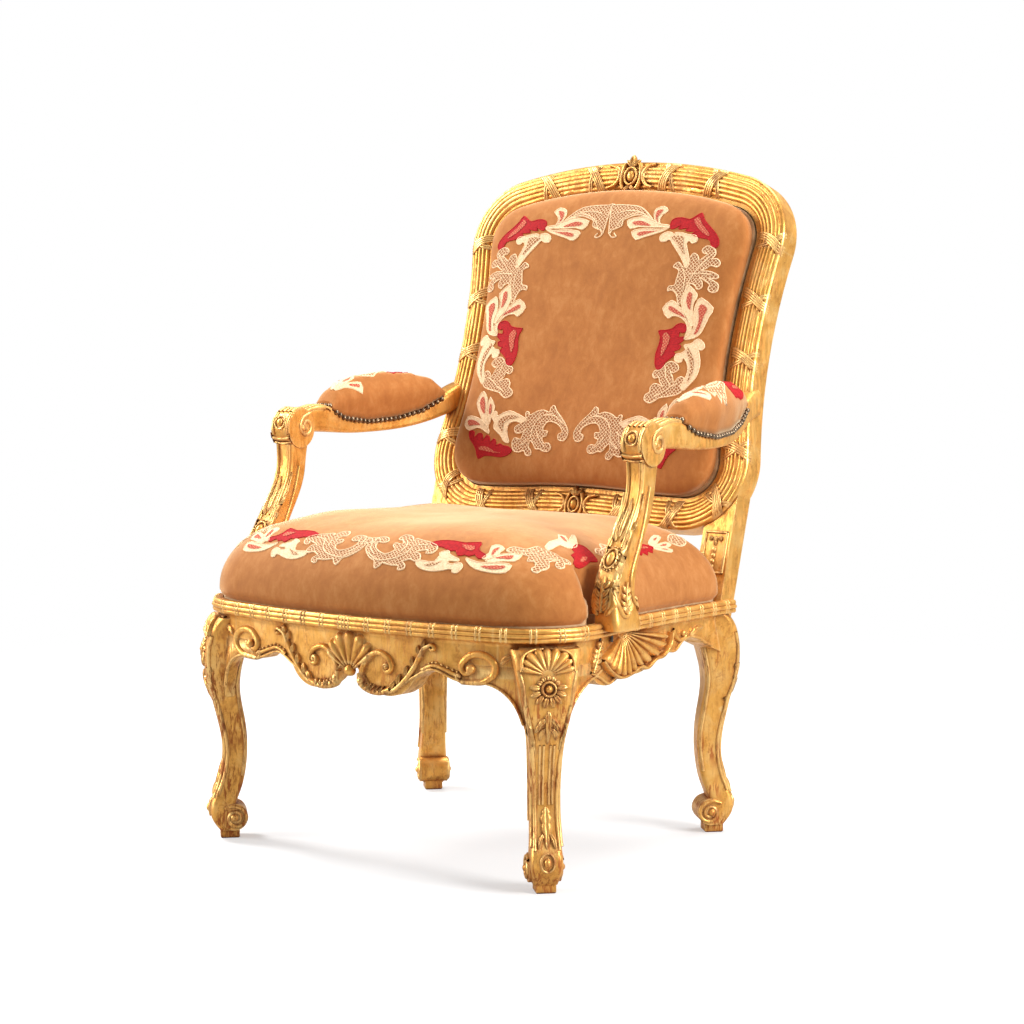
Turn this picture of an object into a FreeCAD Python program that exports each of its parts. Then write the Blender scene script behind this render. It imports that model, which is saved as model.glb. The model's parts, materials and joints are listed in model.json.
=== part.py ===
import FreeCAD
import Part
import Sketcher
import math
import os

# A carved and gilded open armchair. Seat, back and arm pads are upholstered in velvet.
# Millimetres, +Z up, the sitter faces -Y and the sitter's left is +X.

Vector = FreeCAD.Vector
UP = Vector(0, 0, 1)
ACROSS = Vector(1, 0, 0)

# Name, value and meaning of every driving size. Angles are in degrees.
SIZES = (
    ("rail_top", 370, "height of the seat rail's top at mid depth"),
    ("seat_slope", 0.9, "fall of the seat towards the back"),
    ("front_reach", 320, "front of the seat moulding ahead of the middle"),
    ("front_half", 250, "half the width of the bowed front"),
    ("front_bow", 26, "rise of the front bow"),
    ("corner_radius", 116, "plan radius of the seat's front corners"),
    ("leg_heading", 78, "plan direction at which a front leg meets its side rail"),
    ("side_heading", 97, "plan direction at which the side starts its hollow"),
    ("side_radius", 2500, "plan radius of the hollow side"),
    ("side_end", 231, "depth at which the side moulding ends"),
    ("moulding_height", 20, "height of the reeded seat moulding"),
    ("rail_setback", 18, "face of the rail behind the moulding's line"),
    ("rail_thickness", 32, "thickness of the seat rails"),
    ("rail_height", 112, "seat rail top to the lowest carved lobe"),
    ("rebate_setback", 16, "wall of the seat rebate behind the moulding's line"),
    ("rebate_depth", 14, "depth of the seat rebate"),
    ("rear_rail_front", 204, "front face of the rear seat rail"),
    ("rear_rail_thickness", 40, "thickness of the rear seat rail"),
    ("rear_rail_height", 50, "height of the rear seat rail"),
    ("knee_block_depth", 64, "depth of a front leg's block in the seat corner"),
    ("knee_block_height", 72, "height of a front leg's block in the seat corner"),
    ("front_foot_x", 299, "front foot centre from the middle"),
    ("front_foot_y", 238, "front foot centre ahead of the middle"),
    ("rear_foot_x", 277, "rear foot centre from the middle"),
    ("rear_foot_y", 239, "rear foot centre behind the middle"),
    ("foot_block_side", 29, "side of the block under a foot"),
    ("foot_block_height", 17, "height of the block under a foot"),
    ("volute_radius", 21, "radius of the scroll at a foot"),
    ("volute_height", 34, "height of the scroll's eye"),
    ("volute_setback", 6, "scroll's eye inside the foot centre"),
    ("volute_width", 46, "width of the scroll at a foot"),
    ("leg_top", 345, "height to which a leg is shaped"),
    ("knee_reach", 36, "knee outside the foot centre"),
    ("knee_width", 76, "width of a leg at the knee"),
    ("ankle_width", 39, "width of a leg at its thinnest"),
    ("toe_reach", 30, "toe outside the foot centre"),
    ("tenon_length", 26, "length of a tenon"),
    ("tenon_thickness", 10, "thickness of a tenon"),
    ("peg_diameter", 6, "diameter of a wooden peg"),
    ("back_rake", 16.91, "lean of the back"),
    ("back_depth", 267, "depth of the back's plane at its base height"),
    ("back_base", 494, "base height of the back's plane"),
    ("back_low_half", 199.1, "half the straight width of the lower back rail"),
    ("back_drop", 25, "underside of the lower back rail below the base, in the plane"),
    ("back_sweep", 4, "slope of the lower back rail's curve"),
    ("back_corner_radius", 108, "radius of the back's lower corners"),
    ("waist_start", 99.73, "direction at which the waist starts"),
    ("waist_end", 80.7, "direction at which the waist ends"),
    ("waist_radius", 1000, "radius of the waist"),
    ("shoulder_radius", 108.8, "radius of the shoulders"),
    ("shoulder_end", 165.2, "direction at which the shoulder meets the crest"),
    ("back_frame_width", 52, "width of the back's moulding"),
    ("back_frame_depth", 36, "depth of the back frame behind its plane"),
    ("back_crown", 9, "rise of the back's reeded moulding"),
    ("back_ledge", 12, "ledge behind the back panel"),
    ("back_rebate", 14, "depth of the back panel's rebate"),
    ("post_inner", 245, "inner face of a rear post from the middle"),
    ("post_width", 52, "width of a rear post"),
    ("post_depth", 38, "depth of a rear post"),
    ("arm_x", 334, "arm scroll from the middle"),
    ("arm_scroll_y", 45, "arm scroll ahead of the middle"),
    ("arm_scroll_z", 620, "height of the arm scroll's eye"),
    ("arm_scroll_radius", 31, "radius of the arm scroll"),
    ("arm_scroll_width", 37, "width of the arm scroll"),
    ("arm_pad_rise", 74, "height of an arm pad"),
    ("arm_pad_swell", 8, "overhang of an arm pad's side"),
    ("arm_pad_start", 34, "front end of an arm pad"),
    ("arm_pad_length", 242, "length of an arm pad"),
    ("nail_diameter", 8, "diameter of an upholstery nail's head"),
    ("nail_pitch", 9.2, "spacing of the upholstery nails"),
    ("frame_clearance", 2, "gap between a loose frame and the rebate's wall"),
    ("cloth_clearance", 0.4, "gap between a cover and the wood beside it"),
    ("cover_thickness", 1.4, "thickness of the velvet cover"),
    ("seat_frame_thickness", 22, "thickness of the loose seat frame"),
    ("seat_frame_width", 55, "width of the loose seat frame's rails"),
    ("seat_back_edge", 213, "rear edge of the loose seat"),
    ("seat_rise", 138, "crown of the seat above the rail top"),
    ("back_panel_thickness", 18, "thickness of the loose back frame"),
    ("back_panel_rail", 42, "width of the loose back frame's rails"),
    ("back_rise", 48, "crown of the back pad in front of the back's plane"),
    ("webbing_width", 58, "width of a webbing strip"),
    ("webbing_thickness", 1.5, "thickness of the webbing"),
    ("hessian_thickness", 1, "thickness of the hessian"),
    ("tack_diameter", 6, "diameter of a tack's head"),
    ("tack_length", 12, "length of a tack"),
    ("screw_diameter", 5, "diameter of an iron screw"),
    ("screw_length", 42, "length of an iron screw"),
    ("depth_centre", 0, "middle of the overall depth, set after building"),
)

document = FreeCAD.newDocument("armchair")
sheet = document.addObject("Spreadsheet::Sheet", "Dimensions")
finished = []


def enter_sizes():
    """Each row of the sheet holds one size."""
    for row, (name, value, meaning) in enumerate(SIZES, start=1):
        sheet.set(f"A{row}", meaning)
        sheet.set(f"B{row}", str(value))
        sheet.setAlias(f"B{row}", name)
    document.recompute()


def size(name):
    return float(sheet.get(name))


def outline(steps, place):
    """A closed wire. A step is a corner, or a point on an arc followed by the arc's end."""
    first = place(*steps[0])
    last = first
    edges = []
    for step in steps[1:]:
        end = place(*step[-2:])
        if len(step) == 4:
            edges.append(Part.Arc(last, place(*step[:2]), end).toShape())
        else:
            edges.append(Part.makeLine(last, end))
        last = end
    if last.distanceToPoint(first) > 1e-6:
        edges.append(Part.makeLine(last, first))
    return Part.Wire(edges)


class Bend:
    """A circular stretch of an outline whose inside lies on the left."""

    def __init__(self, start, heading, radius, turn):
        self.heading = heading
        self.radius = radius
        self.turn = turn
        self.side = 1 if turn > 0 else -1
        out = self.outward(0)
        self.centre = (
            start[0] - self.side * radius * out[0],
            start[1] - self.side * radius * out[1],
        )

    def direction(self, share):
        return self.heading + share * self.turn

    def outward(self, share):
        angle = math.radians(self.direction(share))
        return math.sin(angle), -math.cos(angle)

    def point(self, share, inset=0):
        out = self.outward(share)
        reach = self.side * self.radius - inset
        return self.centre[0] + reach * out[0], self.centre[1] + reach * out[1]

    def sweep(self, profile, first=0, last=1):
        """The solid that a cross-section of (inset, height) steps makes along the bend."""

        def place(inset, height):
            x, y = self.point(first, inset)
            return Vector(x, y, height)

        face = Part.Face(outline(profile, place))
        return face.revolve(Vector(*self.centre, 0), UP, self.turn * (last - first))

    def arc(self, inset):
        return [self.point(share, inset) for share in (0, 0.5, 1)]


def walk(start, heading, stretches):
    """Bends that follow one another without a corner."""
    bends = []
    for radius, turn in stretches:
        bend = Bend(start, heading, radius, turn)
        bends.append(bend)
        start = bend.point(1)
        heading += turn
    return bends


def closed_outline(bends, inset, height, centre=(0, 0), scale=1):
    """The bends and their mirror images as one closed wire, drawn in towards the centre."""

    def place(point):
        x = centre[0] + (point[0] - centre[0]) * scale
        y = centre[1] + (point[1] - centre[1]) * scale
        return Vector(x, y, height)

    right = [[place(p) for p in bend.arc(inset)] for bend in bends]
    left = [[Vector(-p.x, p.y, p.z) for p in reversed(arc)] for arc in reversed(right)]
    edges = []
    last = None
    for arc in right + left:
        if last is not None and last.distanceToPoint(arc[0]) > 1e-4:
            edges.append(Part.makeLine(last, arc[0]))
        edges.append(Part.Arc(*arc).toShape())
        last = arc[2]
    if last.distanceToPoint(right[0][0]) > 1e-4:
        edges.append(Part.makeLine(last, right[0][0]))
    return Part.Wire(edges)


def loft(wires, banded=False):
    """A solid through sections, smooth or in straight bands from each section to the next."""
    return Part.makeLoft(wires, True, banded)


def crown(steps, fullness):
    """Share of the rise and scale of the sections of a domed pad, from its edge to its top."""
    shares = []
    for step in range(steps + 1):
        angle = math.radians(90 * step / steps)
        shares.append((math.sin(angle) ** 0.85, max(math.cos(angle), 0.05) ** fullness))
    return shares


def rounded_section(first, second, middle_1, middle_2, half_1, half_2, radius, origin):
    """A rectangle with rounded corners in the plane of two directions."""
    cut = radius * (1 - math.sqrt(0.5))

    def place(a, b):
        return origin + first * (middle_1 + a) + second * (middle_2 + b)

    steps = [(half_1, half_2 - radius)]
    for sign_1, sign_2 in ((1, 1), (-1, 1), (-1, -1), (1, -1)):
        near = (sign_1 * half_1, sign_2 * (half_2 - radius))
        far = (sign_1 * (half_1 - radius), sign_2 * half_2)
        middle = (sign_1 * (half_1 - cut), sign_2 * (half_2 - cut))
        start, end = (near, far) if sign_1 * sign_2 > 0 else (far, near)
        if steps[-1] != start:
            steps.append(start)
        steps.append(middle + end)
    return outline(steps, place)


def sloped(shape):
    """Seat pieces fall slightly towards the back."""
    return shape.rotated(Vector(0, 0, size("rail_top")), ACROSS, -size("seat_slope"))


def back_placement():
    """The back's plane: local X across, local Y up the back, local Z forwards."""
    lean = FreeCAD.Rotation(ACROSS, 90 - size("back_rake"))
    return FreeCAD.Placement(Vector(0, size("back_depth"), size("back_base")), lean)


def leaned(shape):
    return shape.transformed(back_placement().toMatrix())


def mirrored(shape):
    return shape.mirror(Vector(0, 0, 0), ACROSS)


def seat_bends(rear):
    """The seat moulding's line: bowed front, leg corner, rest of the corner, hollow side."""
    half = size("front_half")
    bow = size("front_bow")
    front_radius = (half**2 + bow**2) / (2 * bow)
    front_turn = math.degrees(math.asin(half / front_radius))
    corner = size("corner_radius")
    leg = size("leg_heading")
    side = size("side_heading")
    stretches = [(front_radius, front_turn), (corner, leg - front_turn), (corner, side - leg)]
    bends = walk((0, -size("front_reach")), 0, stretches)
    start = bends[-1].point(1)
    radius = size("side_radius")
    end = math.degrees(math.acos((rear - start[1]) / radius + math.cos(math.radians(side))))
    bends.append(Bend(start, side, radius, end - side))
    return bends


def loose_seat_bends():
    """The loose seat's line, which rounds its rear corners and closes across the back."""
    corner = 30
    bends = seat_bends(size("seat_back_edge") - corner)
    last = bends[-1]
    bends.append(Bend(last.point(1), last.direction(1), corner + 20, 180 - last.direction(1)))
    return bends


def back_bends():
    """The back's outer line from the middle of the lower rail up to the crest's middle."""
    half = size("back_low_half")
    sweep = size("back_sweep")
    low_radius = half / 2 / math.sin(math.radians(sweep))
    start = size("waist_start")
    end = size("waist_end")
    top = size("shoulder_end")
    stretches = [
        (low_radius, -sweep),
        (low_radius, sweep),
        (size("back_corner_radius"), start),
        (size("waist_radius"), end - start),
        (size("shoulder_radius"), top - end),
    ]
    bends = walk((0, -size("back_drop")), 0, stretches)
    shoulder = bends[-1].point(1)
    crest_radius = shoulder[0] / math.sin(math.radians(180 - top))
    bends.append(Bend(shoulder, top, crest_radius, 180 - top))
    return bends


def rail_profile(bottom, inner):
    """Seat rail cross-section: reeded moulding, cove, face, inner side and seat rebate."""
    top = size("rail_top")
    low = top - size("moulding_height")
    face = size("rail_setback")
    wall = size("rebate_setback")
    floor = top - size("rebate_depth")
    third = size("moulding_height") / 3
    return [
        (wall, top),
        (7, top),
        (2.2, top - 2, 2.5, top - third),
        (0, top - 1.5 * third, 2.5, top - 2 * third),
        (2, low + 2, 6.5, low),
        (face - 6, low),
        (face - 2, low - 3, face, low - 9),
        (face, bottom),
        (inner, bottom),
        (inner, floor),
        (wall, floor),
        (wall, top),
    ]


def rail_inner():
    return size("rail_setback") + size("rail_thickness")


def tongue(point, heading, length, low, high, root=6):
    """A tenon that runs on from a joint, with its root inside the rail."""
    thickness = size("tenon_thickness")
    box = Part.makeBox(root + length, thickness, high - low, Vector(-root, -thickness / 2, low))
    box.rotate(Vector(0, 0, 0), UP, heading)
    box.translate(Vector(point[0], point[1], 0))
    return box


def joint_pegs(point, heading, length, low, high, reach):
    """Two pegs that pin a tenon from the inner side."""
    along = Vector(math.cos(math.radians(heading)), math.sin(math.radians(heading)), 0)
    across = UP.cross(along)
    pegs = []
    for share in (0.25, 0.75):
        middle = Vector(point[0], point[1], low + share * (high - low)) + along * (length / 2)
        start = middle - across * reach[0]
        pegs.append(Part.makeCylinder(size("peg_diameter") / 2, sum(reach), start, across))
    return pegs


def leg_sections():
    """Height, reach outside and inside the foot centre, and width, from the foot up."""
    toe = size("toe_reach")
    knee = size("knee_reach")
    ankle = size("ankle_width")
    width = size("knee_width")
    top = size("leg_top")
    foot = size("volute_width")
    return [
        (12, 0.5 * toe, -14, 0.75 * foot),
        (26, 0.84 * toe, -12, 0.9 * foot),
        (44, toe, -8, foot),
        (68, 0.8 * toe, -14, 0.94 * foot),
        (98, 0.45 * toe, -23, ankle + 1),
        (130, 0.28 * toe, -27, ankle),
        (160, 0.36 * toe, -27, ankle + 1),
        (0.6 * top, 0.6 * knee, -20, ankle + 6),
        (0.71 * top, 0.92 * knee, -17, 0.76 * width),
        (0.84 * top, knee, -26, width),
        (0.92 * top, 0.86 * knee, -36, 1.16 * width),
        (top, 0.4 * knee, -46, 1.3 * width),
    ]


def leg_solid(foot, direction):
    """A curved leg with a scrolled foot on a small block, turned to face a direction."""
    angle = math.radians(direction)
    outward = Vector(math.cos(angle), math.sin(angle), 0)
    sideways = UP.cross(outward)
    base = Vector(foot[0], foot[1], 0)
    wires = []
    for height, outer, inner, width in leg_sections():
        half = (outer - inner) / 2
        radius = 0.22 * min(2 * half, width)
        origin = base + UP * height
        middle = (outer + inner) / 2
        wires.append(
            rounded_section(outward, sideways, middle, 0, half, width / 2, radius, origin)
        )
    shank = loft(wires)
    eye = base - outward * size("volute_setback") + UP * size("volute_height")
    width = size("volute_width")
    scroll = Part.makeCylinder(size("volute_radius"), width, eye - sideways * width / 2, sideways)
    boss = width + 4
    pin = Part.makeCylinder(size("volute_radius") / 2.6, boss, eye - sideways * boss / 2, sideways)
    side = size("foot_block_side")
    block = Part.makeBox(side, side, size("foot_block_height"), Vector(-side / 2, -side / 2, 0))
    block = block.makeChamfer(2, [e for e in block.Edges if e.BoundBox.ZMax < 1e-6])
    block.rotate(Vector(0, 0, 0), UP, direction)
    block.translate(base)
    return shank.fuse([scroll, pin, block]).removeSplitter()


def back_profile(ledge):
    """Back frame cross-section: six reeds on a swelling face, plain side, panel rebate."""
    width = size("back_frame_width")
    crown = size("back_crown")
    depth = size("back_frame_depth")
    rebate = size("back_rebate")
    lip = 7
    reeds = 6

    def swell(share):
        return crown * (1 - (2 * share - 0.9) ** 2 / 1.21)

    steps = [(0, -depth), (0, swell(0) - 1)]
    for reed in range(1, reeds + 1):
        inset, height = steps[-1][-2:]
        share = reed / reeds
        end = (width - lip) * share
        low = swell(share) - 1 if reed < reeds else 0
        length = math.hypot(end - inset, low - height)
        rise = 1.9 / length
        middle = (inset + end) / 2 + rise * (height - low)
        crest = (height + low) / 2 + rise * (end - inset)
        steps.append((middle, crest, end, low))
    steps.append((width, 0))
    steps.append((width, -rebate))
    steps.append((width + ledge, -rebate))
    steps.append((width + ledge, -depth))
    steps.append((0, -depth))
    return steps


def add(label, shape):
    """A finished sub-part."""
    item = document.addObject("Part::Feature", label)
    item.Label = label
    item.Shape = shape
    finished.append(item)
    return item


def add_pair(name, left_shape):
    """A sub-part on the sitter's left and its mirror image on the right."""
    left = add(name + "_left", left_shape)
    right = document.addObject("Part::Mirroring", name + "_right")
    right.Label = name + "_right"
    right.Source = left
    right.Normal = ACROSS
    finished.append(right)
    return left, right


def origin_plane(body, role):
    return [f for f in body.Origin.OriginFeatures if f.Role == role][0]


def attached_sketch(body, role, name):
    sketch = body.newObject("Sketcher::SketchObject", name)
    sketch.AttachmentSupport = (origin_plane(body, role), [""])
    sketch.MapMode = "FlatFace"
    return sketch


def draw(sketch, steps):
    """Lines and arcs of an outline in the sketch's own plane."""
    wire = outline(steps, lambda a, b: Vector(a, b, 0))
    sketch.addGeometry([edge.Curve.trim(*edge.ParameterRange) for edge in wire.Edges], False)


def draw_box(sketch, names):
    """A rectangle whose left, bottom, width and height come from the sheet."""
    corners = [Vector(0, 0, 0), Vector(40, 0, 0), Vector(40, 30, 0), Vector(0, 30, 0)]
    for index in range(4):
        sketch.addGeometry(Part.LineSegment(corners[index], corners[(index + 1) % 4]), False)
    for index in range(4):
        sketch.addConstraint(Sketcher.Constraint("Coincident", index, 2, (index + 1) % 4, 1))
    for index in range(4):
        kind = "Horizontal" if index % 2 == 0 else "Vertical"
        sketch.addConstraint(Sketcher.Constraint(kind, index))
    rules = (
        ("DistanceX", 0, 1, 0, 2, 40, "width"),
        ("DistanceY", 1, 1, 1, 2, 30, "height"),
        ("DistanceX", -1, 1, 0, 1, 5, "left"),
        ("DistanceY", -1, 1, 0, 1, 5, "bottom"),
    )
    for *rule, name in rules:
        number = sketch.addConstraint(Sketcher.Constraint(*rule))
        sketch.renameConstraint(number, name)
        sketch.setExpression("Constraints." + name, names[name])


def apron_edge():
    """The front rail's carved lower edge from the middle to the leg, as arcs."""
    top = size("rail_top")
    half = size("front_half")
    return [
        (0, top - 70),
        (0.07 * half, top - 75, 0.11 * half, top - 90),
        (0.23 * half, top - 110, 0.46 * half, top - 82),
        (0.58 * half, top - 69, 0.725 * half, top - 80),
        (0.82 * half, top - 83, 0.915 * half, top - 74),
        (1.0 * half, top - 66, 1.1 * half, top - 62),
    ]


def front_rail_body():
    """A bowed rail turned about the bow's centre, with its lower edge cut to the carved line."""
    bend = seat_bends(size("side_end"))[0]
    body = document.addObject("PartDesign::Body", "front_rail_body")
    section = attached_sketch(body, "XZ_Plane", "front_rail_section")
    bottom = size("rail_top") - size("rail_height")
    steps = []
    for step in rail_profile(bottom, rail_inner()):
        if len(step) == 4:
            steps.append((bend.radius - step[0], step[1], bend.radius - step[2], step[3]))
        else:
            steps.append((bend.radius - step[0], step[1]))
    draw(section, steps)
    turned = body.newObject("PartDesign::Revolution", "front_rail_turned")
    turned.Profile = section
    turned.ReferenceAxis = (section, ["V_Axis"])
    turned.Midplane = True
    turned.setExpression(
        "Angle",
        "2 * asin(2 * Dimensions.front_half * Dimensions.front_bow"
        " / (Dimensions.front_half ^ 2 + Dimensions.front_bow ^ 2))",
    )
    document.recompute()
    edge = apron_edge()
    low = bottom - 20
    right = [edge[0]] + edge[1:] + [(edge[-1][-2], low), (0, low)]
    left = [tuple(-v if i % 2 == 0 else v for i, v in enumerate(step)) for step in right]
    for number, steps in enumerate((right, left), start=1):
        waste = attached_sketch(body, "YZ_Plane", f"front_rail_apron_{number}")
        draw(waste, steps + [steps[0]])
        pocket = body.newObject("PartDesign::Pocket", f"front_rail_cut_{number}")
        pocket.Profile = waste
        pocket.Type = "Length"
        pocket.SideType = "Symmetric"
        pocket.Length = 4 * bend.radius
        document.recompute()
    turn = FreeCAD.Rotation(UP, -90)
    slope = FreeCAD.Rotation(ACROSS, -size("seat_slope"))
    top = Vector(0, 0, size("rail_top"))
    level = FreeCAD.Placement(Vector(0, bend.centre[1], 0), turn)
    tilt = FreeCAD.Placement(top, slope) * FreeCAD.Placement(-top, FreeCAD.Rotation())
    body.Placement = tilt * level
    document.recompute()
    return body


def rear_rail_body():
    """A straight rail between the rear posts, padded out from its section."""
    body = document.addObject("PartDesign::Body", "rear_seat_rail")
    body.Label = "rear_seat_rail"
    finished.append(body)
    section = attached_sketch(body, "YZ_Plane", "rear_rail_section")
    draw_box(
        section,
        {
            "left": "Dimensions.rear_rail_front",
            "width": "Dimensions.rear_rail_thickness",
            "bottom": "Dimensions.rail_top - Dimensions.rebate_depth - Dimensions.rear_rail_height",
            "height": "Dimensions.rear_rail_height",
        },
    )
    rail = body.newObject("PartDesign::Pad", "rear_rail_pad")
    rail.Profile = section
    rail.SideType = "Symmetric"
    rail.setExpression("Length", "2 * Dimensions.post_inner")
    document.recompute()
    tenon = attached_sketch(body, "YZ_Plane", "rear_rail_tenon_section")
    middle = "Dimensions.rear_rail_front + Dimensions.rear_rail_thickness / 2"
    floor = "Dimensions.rail_top - Dimensions.rebate_depth"
    draw_box(
        tenon,
        {
            "left": middle + " - Dimensions.tenon_thickness / 2 + 4",
            "width": "Dimensions.tenon_thickness",
            "bottom": floor + " - 0.8 * Dimensions.rear_rail_height",
            "height": "0.6 * Dimensions.rear_rail_height",
        },
    )
    tongues = body.newObject("PartDesign::Pad", "rear_rail_tenons")
    tongues.Profile = tenon
    tongues.SideType = "Symmetric"
    tongues.setExpression("Length", "2 * Dimensions.post_inner + 2 * Dimensions.tenon_length")
    document.recompute()
    top = Vector(0, 0, size("rail_top"))
    slope = FreeCAD.Rotation(ACROSS, -size("seat_slope"))
    body.Placement = FreeCAD.Placement(top, slope) * FreeCAD.Placement(-top, FreeCAD.Rotation())
    document.recompute()
    return body


def side_rail_edge():
    """Material to cut from below a side rail, drawn in the plane of its length and height."""
    top = size("rail_top")
    front = -size("corner_radius") - 130
    steps = [
        (front, top - 150),
        (front, top - 70),
        (-160, top - 72),
        (-105, top - 94, -62, top - 79),
        (-30, top - 87, 20, top - 76),
        (40, top - 65, 84, top - 67),
        (124, top - 50, 166, top - 62),
        (200, top - 74),
        (300, top - 110),
        (300, top - 150),
    ]
    return outline(steps, lambda a, b: Vector(0, a, b))


def side_rail_solid():
    """The end of the corner and the hollow side, with a carved lower edge."""
    bends = seat_bends(size("side_end"))
    profile = rail_profile(size("rail_top") - size("rail_height"), rail_inner())
    solid = bends[2].sweep(profile).fuse(bends[3].sweep(profile)).removeSplitter()
    waste = Part.Face(side_rail_edge()).extrude(Vector(1000, 0, 0))
    return sloped(solid.cut(waste))


def front_leg_solid():
    """A front leg with its block in the seat corner."""
    bend = seat_bends(size("side_end"))[1]
    bottom = size("rail_top") - size("knee_block_height")
    block = sloped(bend.sweep(rail_profile(bottom, size("knee_block_depth"))))
    leg = leg_solid((size("front_foot_x"), -size("front_foot_y")), -45)
    return block.fuse(leg).removeSplitter()


def post_solid():
    """The straight stretch of a rear post between the leg and the back frame."""
    left = size("post_inner")
    width = size("post_width")
    depth = size("post_depth")
    rake = math.radians(size("back_rake"))
    low = (size("leg_top") - 36 - size("back_base")) / math.cos(rake)
    high = 0.3 * size("back_corner_radius")
    box = Part.makeBox(width, high - low, depth, Vector(left, low, -depth))
    return leaned(box)


def rear_post_solid():
    """A rear leg, its post and the stile of the back, in one length of timber."""
    bends = back_bends()
    profile = back_profile(size("back_ledge"))
    stile = bends[2].sweep(profile).fuse(bends[3].sweep(profile))
    leg = leg_solid((size("rear_foot_x"), size("rear_foot_y")), 45)
    return leaned(stile).fuse([post_solid(), leg]).removeSplitter()


def crest_solid():
    """The arched crest rail with both shoulders."""
    bends = back_bends()
    profile = back_profile(size("back_ledge"))
    shoulder = bends[4].sweep(profile)
    return leaned(bends[5].sweep(profile, 0, 2).fuse([shoulder, mirrored(shoulder)]))


def lower_rail_solid():
    """The swept lower rail of the back."""
    bends = back_bends()
    profile = back_profile(size("back_ledge"))
    end = bends[1].sweep(profile)
    return leaned(bends[0].sweep(profile, -1, 1).fuse([end, mirrored(end)]))


def back_tongue(bend, share, backwards):
    """A tenon at the end of a bend of the back frame."""
    depth = size("back_frame_depth")
    middle = bend.point(share, size("back_frame_width") / 2)
    heading = bend.direction(share) + (180 if backwards else 0)
    length = size("tenon_length")
    thickness = size("tenon_thickness")
    width = 0.6 * size("back_frame_width")
    box = Part.makeBox(
        length + 6, width, thickness, Vector(-6, -width / 2, -0.7 * depth)
    )
    box.rotate(Vector(0, 0, 0), UP, heading)
    box.translate(Vector(middle[0], middle[1], 0))
    return leaned(box)


def back_pegs(bend, share, backwards):
    """Two pegs through a back frame joint from behind."""
    middle = bend.point(share, size("back_frame_width") / 2)
    heading = math.radians(bend.direction(share) + (180 if backwards else 0))
    along = Vector(math.cos(heading), math.sin(heading), 0)
    across = UP.cross(along)
    reach = 0.85 * size("back_frame_depth")
    pegs = []
    for offset in (-0.16, 0.16):
        centre = Vector(middle[0], middle[1], -size("back_frame_depth"))
        centre += along * (size("tenon_length") / 2)
        centre += across * (offset * size("back_frame_width"))
        pegs.append(leaned(Part.makeCylinder(size("peg_diameter") / 2, reach, centre, UP)))
    return pegs


def arm_sections():
    """Depth, offset from the scroll's line, middle height, width and height along an arm."""
    eye = size("arm_scroll_z")
    return [
        (-50, 0, eye + 17, 34, 31),
        (-10, 0, eye + 12, 34, 38),
        (30, 2, eye + 10, 36, 40),
        (62, 3, eye + 1, 38, 27),
        (120, 0, eye - 4, 40, 20),
        (180, -11, eye - 1, 40, 21),
        (230, -25, eye + 8, 38, 25),
        (270, -37, eye + 22, 36, 34),
        (335, -50, eye + 43, 34, 42),
    ]


def arm_solid():
    """An arm with its scroll at the front, long enough to reach into the stile."""
    wires = []
    back = Vector(0, 1, 0)
    for depth, offset, middle, width, height in arm_sections():
        origin = back * depth
        radius = 0.25 * min(width, height)
        centre = size("arm_x") + offset
        wires.append(
            rounded_section(ACROSS, UP, centre, middle, width / 2, height / 2, radius, origin)
        )
    length = size("arm_scroll_width")
    start = Vector(
        size("arm_x") - length / 2, -size("arm_scroll_y"), size("arm_scroll_z")
    )
    scroll = Part.makeCylinder(size("arm_scroll_radius"), length, start, ACROSS)
    return loft(wires).fuse(scroll).removeSplitter()


def support_sections():
    """Height, outward offset, front, rear and width of an arm support."""
    low = size("rail_top")
    eye = size("arm_scroll_z")
    rise = eye - low
    front = -size("arm_scroll_y")
    return [
        (low - 8, 6, front - 105, front - 42, 42),
        (low + 0.06 * rise, 5, front - 105, front - 44, 40),
        (low + 0.14 * rise, 3, front - 103, front - 47, 37),
        (low + 0.27 * rise, 2, front - 95, front - 42, 34),
        (low + 0.38 * rise, 1, front - 78, front - 30, 32),
        (low + 0.52 * rise, 0, front - 54, front - 9, 30),
        (low + 0.70 * rise, -1, front - 27, front + 12, 29),
        (low + 0.83 * rise, -1, front - 22, front + 17, 30),
        (low + 0.92 * rise, -1, front - 23, front + 21, 33),
        (eye - 2, -1, front - 25, front + 25, 35),
    ]


def support_solid():
    """An arm support that leans back from the seat rail up to the scroll."""
    wires = []
    back = Vector(0, 1, 0)
    for height, offset, front, rear, width in support_sections():
        origin = UP * height
        radius = 0.2 * min(width, rear - front)
        wires.append(
            rounded_section(
                ACROSS,
                back,
                size("arm_x") + offset,
                (front + rear) / 2,
                width / 2,
                (rear - front) / 2,
                radius,
                origin,
            )
        )
    return loft(wires)


def arm_pad_sections(shrink):
    """Domed sections along an arm pad: flat below, swelling sides, rounded top."""
    start = size("arm_pad_start")
    length = size("arm_pad_length")
    rise = size("arm_pad_rise")
    swell = size("arm_pad_swell")
    shares = (0, 0.05, 0.14, 0.33, 0.56, 0.78, 0.92, 1)
    heights = (0.16, 0.46, 0.74, 0.96, 1, 0.82, 0.52, 0.16)
    wires = []
    for share, height in zip(shares, heights):
        depth = start + shrink + share * (length - 2 * shrink)
        offset, middle, width, thick = arm_at(depth)
        half = width / 2 - shrink
        low = middle + thick / 2 - 1.2
        tall = rise * height - shrink
        bulge = half + swell * height
        steps = [
            (-half, low),
            (half, low),
            (bulge, low + 0.42 * tall, 0.72 * half, low + 0.86 * tall),
            (0, low + tall, -0.72 * half, low + 0.86 * tall),
            (-bulge, low + 0.42 * tall, -half, low),
        ]
        centre = size("arm_x") + offset
        wires.append(outline(steps, lambda a, b: Vector(centre + a, depth, b)))
    return wires


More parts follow.
